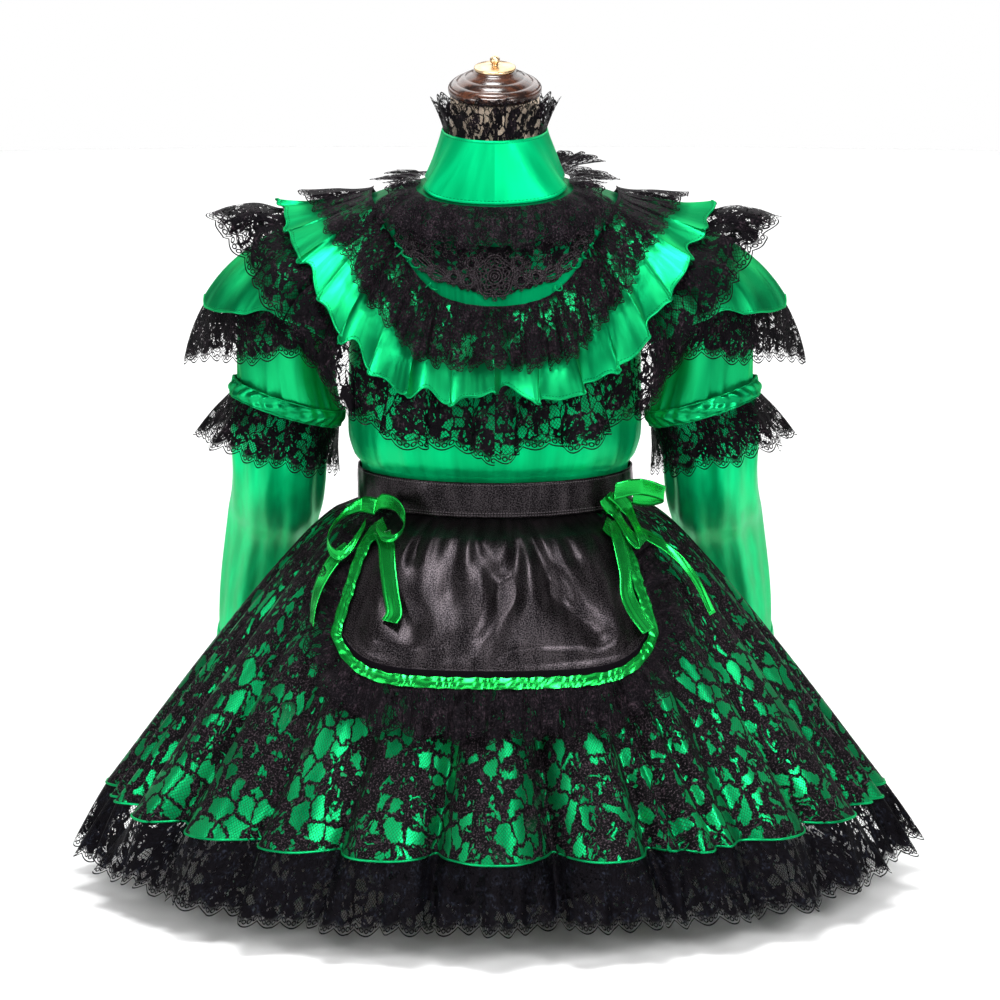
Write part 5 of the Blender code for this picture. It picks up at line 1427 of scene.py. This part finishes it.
# ridges that run down from the waist: place across at its two ends, height, half width, length
apronFolds = table(
    "top low high wide long",
    (-0.82, -0.95, 0.0040, 0.060, 0.70), (-0.66, -0.74, 0.0050, 0.055, 0.95),
    (-0.52, -0.50, 0.0038, 0.045, 0.55), (-0.38, -0.42, 0.0054, 0.060, 1.10),
    (-0.22, -0.18, 0.0042, 0.045, 0.60), (-0.07, -0.10, 0.0050, 0.055, 0.90),
    (0.08, 0.13, 0.0040, 0.048, 0.60), (0.22, 0.30, 0.0054, 0.060, 1.15), (0.37, 0.47, 0.0042, 0.046, 0.65),
    (0.53, 0.62, 0.0050, 0.058, 0.95), (0.69, 0.80, 0.0042, 0.050, 0.75), (0.84, 0.95, 0.0036, 0.050, 0.60),
)
# troughs between the big soft folds, each from one place (across, down) to another
apronTroughs = table(
    "start end deep wide",
    ((0.24, 0.03), (0.08, 0.45), 0.0105, 0.080), ((0.08, 0.45), (-0.06, 0.84), 0.0100, 0.085),
    ((-0.42, 0.08), (-0.33, 0.42), 0.0080, 0.120), ((-0.78, 0.46), (-0.52, 0.66), 0.0075, 0.090),
    ((0.30, 0.10), (0.42, 0.44), 0.0085, 0.070), ((0.42, 0.44), (0.64, 0.72), 0.0085, 0.085),
    ((0.74, 0.10), (0.88, 0.48), 0.0070, 0.080), ((-0.90, 0.08), (-0.94, 0.40), 0.0060, 0.070),
    ((-0.10, 0.20), (-0.02, 0.34), 0.0060, 0.060), ((-0.62, 0.05), (-0.60, 0.22), 0.0070, 0.050),
    ((0.54, 0.04), (0.58, 0.22), 0.0065, 0.050), ((-0.26, 0.80), (-0.10, 0.74), 0.0040, 0.070),
)
apronWide = smoothCurve(apronTable, "z", "wide")


def apronLift(z):
    return 1.34 * skirtSwing(z) + 0.0012 + 0.0022 * np.clip((0.462 - z) / 0.02, 0, 1)


def steepRise(z):
    return 0.0030 * np.clip((z - 0.415) / 0.030, 0, 1)


def frontPoint(x, z, lift):
    side = skirtSide(np.minimum(z, 0.4655))
    share = np.clip(x / (side + lift), -0.86, 0.86)
    deep = skirtSize["ratio"] * side + lift
    return np.stack([x, -deep * np.sqrt(1 - share ** 2), np.broadcast_to(z, np.shape(x))], axis=-1)


def apronPlace(across, down):
    bottom = apronSize["bottom"] + apronSize["corner"] * np.abs(across) ** 7
    z = apronSize["top"] + (bottom - apronSize["top"]) * down
    return across * apronWide(z), z


def apronOutline(places):
    # points along the sides and the bottom, and the way out from each
    steps = np.linspace(0, 1, 60)
    line = [apronPlace(np.float64(-1), s) for s in steps]
    line += [apronPlace(a, 1.0) for a in np.linspace(-1, 1, 160)[1:-1]]
    line += [apronPlace(np.float64(1), s) for s in steps[::-1]]
    line = np.array(line, float)
    length = lengthsAlong(line)
    at = np.asarray(places) * length[-1]
    before, point, after = (np.stack([np.interp(at + step, length, line[:, i]) for i in range(2)], axis=-1)
                            for step in (-0.012, 0, 0.012))
    way = unit(after - before)
    return point, np.stack([way[:, 1], -way[:, 0]], axis=-1)


def apronRidges(across, down):
    total = np.zeros(np.shape(across))
    for row in apronFolds:
        share = np.clip(down / row["long"], 0, 1)
        centre = row["top"] + (row["low"] - row["top"]) * down
        wide = row["wide"] * (1 + 1.1 * down)
        ridge = np.exp(-((across - centre) / wide) ** 2)
        rise = np.clip(down / 0.06, 0, 1)
        total = total + apronSize["folds"] * row["high"] * rise * (1 - share) ** 0.8 * ridge
    fine = apronSize["gathers"] * (1 + np.cos(across * 52 + 1.5 * np.sin(across * 7))) * np.exp(-down / 0.10)
    fine = fine * np.clip(down / 0.03, 0, 1)
    for row in apronTroughs:
        (a, c), (b, d) = row["start"], row["end"]
        along = ((across - a) * (b - a) + (down - c) * (d - c)) / ((b - a) ** 2 + (d - c) ** 2)
        along = np.clip(along, 0, 1)
        away = np.hypot(across - a - along * (b - a), (down - c - along * (d - c)) * 0.9)
        total = total - row["deep"] * np.exp(-(away / row["wide"]) ** 2) * min(1, 0.4 + down * 4)
    broad = apronSize["puff"] * (1 - np.exp(-down / 0.10))
    edge = (1 - np.clip((np.abs(across) - 0.76) / 0.14, 0, 1)) * (1 - np.clip((down - 0.76) / 0.15, 0, 1))
    return np.maximum(total + fine + broad, 0) * (edge * edge * (3 - 2 * edge))


def makeApronPanel():
    across = np.linspace(-1, 1, 241)
    rows = []
    for down in np.concatenate([np.linspace(0, 0.12, 14)[:-1], np.linspace(0.12, 1, 66)]):
        x, z = apronPlace(across, down)
        rows.append(frontPoint(x, z, apronLift(z) + satinWall * 0.5 + apronRidges(across, down)))
    places = np.linspace(0.02, 0.98, 641)
    point, out = apronOutline(places)

    def ribbonRow(t):
        offset = apronSize["ribbon"] * (-0.05 + 0.5 * t) * (1 + 0.08 * np.sin(places * 190) * abs(t))
        x, z = (point + out * offset[:, None]).T
        z = np.minimum(z, apronSize["top"])
        pucker = 0.0008 * (1 - t * t) * (1 + pleat(places * 400 + 2.5 * np.sin(places * 90) + 1.3 * t, 0.4))
        edge = 0.0004 * abs(t) * np.sin(places * 300 + 2 * np.sin(places * 90))
        return frontPoint(x, z, apronLift(z) + satinWall + laceWall + 0.0036 + steepRise(z) + pucker + edge)

    ribbon = clothMesh("apronRibbon", sweep(ribbonRow, -1, 1, 9), False, 0.5)[0]
    ribbon = addPiece("apronRibbon", ribbon, "ribbonRuched", "apron_ribbon")
    addCloth("apronSatinPanel", np.array(rows), "apronSatin", "apron", "skirt_front waistband",
             measured=0.6)


def makeApronRuffle():
    share = np.linspace(0, 1, apronSize["waves"] * 28 + 1)
    places = np.linspace(0.012, 0.988, len(share))
    point, out = apronOutline(places)
    reach = smoothCurve(apronLaceTable, "place", "reach")(np.minimum(places, 1 - places))
    phase = tau * apronSize["waves"] * share
    wave = foldWave(phase, 0.25) + 0.20 * np.cos(3 * phase + 0.9) + 0.12 * np.cos(5 * phase)
    way = np.stack([-out[:, 1], out[:, 0]], axis=-1)

    def row(t):
        at = point + out * ((0.004 + reach * (1 + 0.05 * np.cos(phase + 0.5))) * t - 0.004)[:, None]
        x, z = (at + way * (0.0035 * np.sin(2 * phase) * t)[:, None]).T
        z = np.minimum(z, apronSize["top"] - 0.0008)
        swing = float(np.interp(t, (0, 0.45, 1), (0.0003, 0.0036, 0.0078)))
        return frontPoint(x, z, apronLift(z) + satinWall + 0.0013 + swing * (1.25 + wave))

    addCloth("apronRuffle", sweep(row, 0, 1, 24), "apronLace", "apron_lace", "skirt_front",
             measured=0.9)


makeApronPanel()
makeApronRuffle()
print("apron made")


# Ribbon bows: the ribbon's way across at its start and at its end, then its places.
# Each place: x and z in front view, height of the lower edge over the trim, tip in degrees
bows = {
    "bow_right_curl": (((0.20, 1.0), (0.20, 1.0)), [
        (-0.140, 0.474, 0.0094, 0), (-0.132, 0.481, 0.0108, 12), (-0.117, 0.480, 0.0100, 32),
        (-0.107, 0.469, 0.0130, 38), (-0.107, 0.457, 0.0140, 38), (-0.117, 0.449, 0.0130, 34),
        (-0.130, 0.449, 0.0125, 24), (-0.138, 0.456, 0.0130, 14)]),
    "bow_right_loop": (((0.20, 1.0), (0.05, 1.0)), [
        (-0.140, 0.472, 0.0072, 0), (-0.156, 0.472, 0.0084, 12), (-0.175, 0.464, 0.0100, 28),
        (-0.190, 0.451, 0.0115, 36), (-0.196, 0.440, 0.0115, 40), (-0.192, 0.429, 0.0110, 38),
        (-0.181, 0.425, 0.0091, 34), (-0.170, 0.432, 0.0072, 22), (-0.160, 0.445, 0.0066, 8),
        (-0.152, 0.456, 0.0068, 0)]),
    "bow_right_tail_inner": (((1.0, 0.25), (1.0, -0.10)), [
        (-0.132, 0.450, 0.0004, 0), (-0.126, 0.437, 0.0018, 2), (-0.124, 0.417, 0.0040, 8),
        (-0.120, 0.393, 0.0050, 8), (-0.116, 0.373, 0.0060, 6), (-0.121, 0.364, 0.0080, 14)]),
    "bow_right_tail_outer": (((0.60, -0.80), (1.0, -0.20)), [
        (-0.172, 0.432, 0.0060, 0), (-0.181, 0.425, 0.0046, 0), (-0.192, 0.413, 0.0060, 12),
        (-0.203, 0.396, 0.0066, 34), (-0.210, 0.375, 0.0080, 60), (-0.212, 0.354, 0.0080, 70)]),
    "bow_left_loop_low": (((0.80, 0.60), (0.80, 0.60)), [
        (0.139, 0.490, 0.0120, 0), (0.151, 0.477, 0.0145, 2), (0.162, 0.460, 0.0172, 3),
        (0.171, 0.445, 0.0168, 3), (0.173, 0.437, 0.0138, 2), (0.167, 0.438, 0.0108, 2),
        (0.155, 0.449, 0.0090, 2), (0.143, 0.464, 0.0080, 1), (0.133, 0.478, 0.0072, 0),
        (0.130, 0.486, 0.0066, 0)]),
    "bow_left_loop_high": (((0.10, 1.0), (0.10, 1.0)), [
        (0.141, 0.492, 0.0150, 0), (0.161, 0.495, 0.0220, 8), (0.181, 0.493, 0.0285, 15),
        (0.194, 0.489, 0.0300, 20), (0.200, 0.486, 0.0250, 20), (0.197, 0.483, 0.0180, 14),
        (0.186, 0.480, 0.0120, 8), (0.173, 0.480, 0.0090, 4), (0.163, 0.482, 0.0078, 2)]),
    "bow_left_tail_inner": (((1.0, 0.25), (0.80, 0.30)), [
        (0.138, 0.458, 0.0030, 0), (0.142, 0.449, 0.0032, 2), (0.147, 0.432, 0.0040, 4),
        (0.152, 0.410, 0.0055, 6), (0.153, 0.389, 0.0065, 8), (0.163, 0.369, 0.0075, 6),
        (0.178, 0.350, 0.0085, 4)]),
    "bow_left_tail_outer": (((0.60, 0.80), (0.80, 0.50)), [
        (0.166, 0.450, 0.0102, 0), (0.184, 0.440, 0.0082, 12), (0.202, 0.428, 0.0080, 28),
        (0.221, 0.411, 0.0080, 34), (0.238, 0.388, 0.0080, 38), (0.254, 0.357, 0.0080, 42)]),
}
bowSize = {"width": 0.0205, "thick": 0.0008, "crown": 0.0007}


def overTrim(x, z, height):
    return frontPoint(x, z, apronLift(z) + satinWall + laceWall + 0.0046 + height + steepRise(z))


def makeBow(node, across, line):
    count = (len(line) - 1) * 9 + 1
    x, z, height, tip = spline(np.array(line), np.linspace(0, len(line) - 1, count)).T
    half = bowSize["width"] / 2
    tip = np.radians(tip)
    height = height + half * np.sin(tip)
    middle = overTrim(x, z, height)
    share = np.linspace(0, 1, count)[:, None]
    flat = np.array(across[0]) * (1 - share) + np.array(across[1]) * share
    flat *= half / np.linalg.norm(flat, axis=1, keepdims=True)
    right, left = np.array([x, z]) + flat.T, np.array([x, z]) - flat.T
    width = unit(overTrim(right[0], right[1], height) - overTrim(left[0], left[1], height))
    width = (width * np.cos(tip)[:, None] + np.outer(np.sin(tip), (0, -1, 0))) * half
    crown = unit(np.cross(width, unit(np.gradient(middle, axis=0))))
    grid = sweep(lambda t: middle + width * t + crown * (bowSize["crown"] * (1 - t * t)), -1, 1, 9)
    name = "bow" + "".join(word.capitalize() for word in node.split("_")[1:]) + "Ribbon"
    addCloth(name, grid, "ribbonSatin", node, "apron_lace", thickness=bowSize["thick"],
             measured=0.5)


for node, (across, line) in bows.items():
    makeBow(node, across, line)
print("bows made")


# Lace ground and open applique on the yoke: shiny cords in rings, lobes and leaves
groundTable = table(
    "x low high",
    (0.000, 0.7235, 0.7790), (0.024, 0.7300, 0.7815), (0.046, 0.7345, 0.7850), (0.066, 0.7480, 0.7920),
    (0.086, 0.7610, 0.8010), (0.102, 0.7730, 0.8120), (0.116, 0.7900, 0.8200),
)
groundLow, groundHigh = smoothCurve(groundTable, "x", "low"), smoothCurve(groundTable, "x", "high")
rose = {"x": 0.000, "z": 0.746, "outer": 0.0225}
# the rose's rings from the outside in: radius, points, lobes and their depth, the cord's radius and lift
roseRings = table(
    "radius count lobes depth cord lift",
    (0.0225, 110, 5, 0.0014, 0.001375, 0.0018), (0.0195, 100, 5, 0.0016, 0.00096, 0.0024),
    (0.0163, 100, 10, 0.0013, 0.0011, 0.0018), (0.0117, 80, 8, 0.0012, 0.00121, 0.0022),
    (0.0083, 70, 0, 0.0, 0.00132, 0.0018), (0.0050, 50, 0, 0.0, 0.0011, 0.0022),
    (0.0018, 24, 0, 0.0, 0.0011, 0.0022),
)
sideRings = table(
    "x z radius",
    (0.0305, 0.7410, 0.0078), (0.0265, 0.7600, 0.0074), (0.0470, 0.7450, 0.0072),
    (0.0985, 0.7765, 0.0072), (0.1068, 0.7882, 0.0068),
)
leaves = table("x z long turn", (0.0530, 0.7430, 0.026, 66), (0.0700, 0.7500, 0.032, 52))
# radii of the cords, and the number of small loops that fill the lace between the motifs
cordSize = {"thick": 0.0011, "fine": 0.0008, "fillers": 84, "seed": 11}


def onYoke(line, lift):
    line = np.asarray(line, float)
    turn = np.arcsin(np.clip(line[:, 0] / bodySide(line[:, 1]), -0.99, 0.99))
    return onBody(turn, line[:, 1], ease + satinWall + lift)


def makeLaceGround():
    x = np.linspace(-0.116, 0.116, 161)
    low, high = groundLow(np.abs(x)) + 0.0016 * np.cos(x * 410), groundHigh(np.abs(x))

    def row(share):
        z = high + (low - high) * share
        return onYoke(np.stack([x, z], axis=-1), 0.0006 + 0.0003 * math.sin(9 * share))

    addCloth("yokeLaceGround", sweep(row, 0, 1, 26), "groundLace", None, "yoke_front", measured=0.5)


def heading(turn, side=1):
    return np.array([side * math.sin(turn), math.cos(turn)])


def circleLine(middle, radius, count, lobes=0, depth=0.0, spin=0.0):
    turn = np.linspace(0, tau, count + 1)[:-1]
    reach = radius + depth * np.cos(lobes * turn + spin)
    return np.stack([middle[0] + reach * np.sin(turn), middle[1] + reach * np.cos(turn)], axis=-1)


def leafLine(start, way, long, wide, count):
    t = np.linspace(0, tau, count + 1)[:-1]
    along = (1 - np.cos(t)) / 2 * long
    across = np.sin(t) * wide * (1 - 0.35 * np.cos(t))
    return start + along[:, None] * way + across[:, None] * np.array([-way[1], way[0]])


def makeApplique():
    thick, fine = cordSize["thick"], cordSize["fine"]
    parts = []

    def cord(line, radius, lift, closed=True):
        place = onYoke(line, lift)
        wobble = 1 + 0.16 * np.sin(np.arange(len(place)) * 1.9)
        up = np.broadcast_to(np.array([0.0, -1.0, 0.25]), place.shape)
        parts.append(tubeParts(place, radius * wobble, closed, 7, up))

    def loopsRound(middle, away, count, first, radius, points, share, lift):
        for k in range(count):
            place = middle + heading(tau * (k + first) / count) * away
            cord(circleLine(place, radius, points), fine * share, lift)

    middle = np.array([rose["x"], rose["z"]])
    for row in roseRings:
        line = circleLine(middle, row["radius"], row["count"], row["lobes"], row["depth"])
        cord(line, row["cord"], row["lift"])
    for i in range(10):
        way = heading(tau * (i + 0.2) / 10)
        cord(leafLine(middle + way * 0.0115, way, 0.0098, 0.0026, 20), fine, 0.0016)
    loopsRound(middle, rose["outer"] + 0.0022, 15, 0.5, 0.0021, 16, 0.9, 0.0014)
    for side in (-1, 1):
        for row in sideRings:
            place, r = np.array([side * row["x"], row["z"]]), row["radius"]
            cord(circleLine(place, r, 54, 9, 0.0004), thick * 1.15, 0.0017)
            cord(circleLine(place, r - 0.0026, 40), thick, 0.0019)
            loopsRound(place, r + 0.0016, 8, 0, 0.0015, 14, 0.8, 0.0013)
        for row in leaves:
            way, long = heading(math.radians(row["turn"]), side), row["long"]
            start = np.array([side * row["x"], row["z"]])
            cord(leafLine(start, way, long, 0.0066, 48), thick * 1.1, 0.0017)
            cord(leafLine(start + way * 0.003, way, long - 0.007, 0.0036, 36), fine * 1.1, 0.0019)
            cord([start + way * s for s in np.linspace(0.001, long - 0.001, 18)], fine, 0.0022, False)
            across = np.array([-way[1], way[0]])
            for k in range(7):
                for edge in (-1, 1):
                    place = start + way * (long * (k + 0.7) / 7.4)
                    place = place + across * edge * 0.0076 * math.sin(math.pi * (k + 0.9) / 8)
                    cord(circleLine(place, 0.0017, 14), fine * 0.85, 0.0013)
    draw = np.random.default_rng(cordSize["seed"])
    for k in range(cordSize["fillers"]):
        across, share, reach, lobes = draw.uniform((-0.110, 0.10, 0.0016, 4), (0.110, 0.92, 0.0046, 8))
        low, high = groundLow(abs(across)), groundHigh(abs(across))
        place = np.array([across, low + (high - low) * share])
        if math.hypot(*(place - middle)) > rose["outer"] + 0.004:
            cord(circleLine(place, reach, 18, int(lobes), 0.22 * reach, k), fine * 0.75, 0.0010)
    addPiece("yokeApplique", joinedMesh("yokeApplique", parts), "cord", "yoke_applique")


# Small curls of thread at the yoke seam
curlTable = table(
    "angle z size spin",
    (38.5, 0.776, 0.010, 0.4), (35.0, 0.768, 0.008, 1.9), (31.0, 0.758, 0.009, 2.8),
    (44.0, 0.796, 0.007, 0.9), (24.0, 0.733, 0.007, 2.2),
)


def makeCurls():
    t = np.linspace(0, 1, 26)
    radius = 0.0009 * (1 - 0.4 * np.abs(2 * t - 1) ** 4)
    up = np.broadcast_to(np.array([0.0, -1.0, 0.2]), (len(t), 3))
    parts = []
    for side in (-1, 1):
        for i, row in enumerate(curlTable):
            middle = onBody(side * math.radians(row["angle"]), row["z"], ease + satinWall + 0.0050)
            size, spin = row["size"], row["spin"] * side
            x = size * (t - 0.5) * 1.5 + size * 0.32 * np.sin(9 * t + spin)
            z = size * 0.75 * np.sin(5.5 * t + spin) * (0.6 + 0.4 * t)
            y = -0.0016 * (1 + np.sin(7 * t + i))
            parts.append(tubeParts(middle + np.stack([x * side, y, z], axis=-1), radius, up=up))
    addPiece("seamCurls", joinedMesh("seamCurls", parts), "greenSatin")


makeLaceGround()
makeApplique()
makeCurls()
print("applique and curls made")

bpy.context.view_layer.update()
triangles = sum(len(p.vertices) - 2 for o in scene.objects if o.type == "MESH" and not o.hide_render
                for p in o.data.polygons)
print("visible triangles:", triangles)
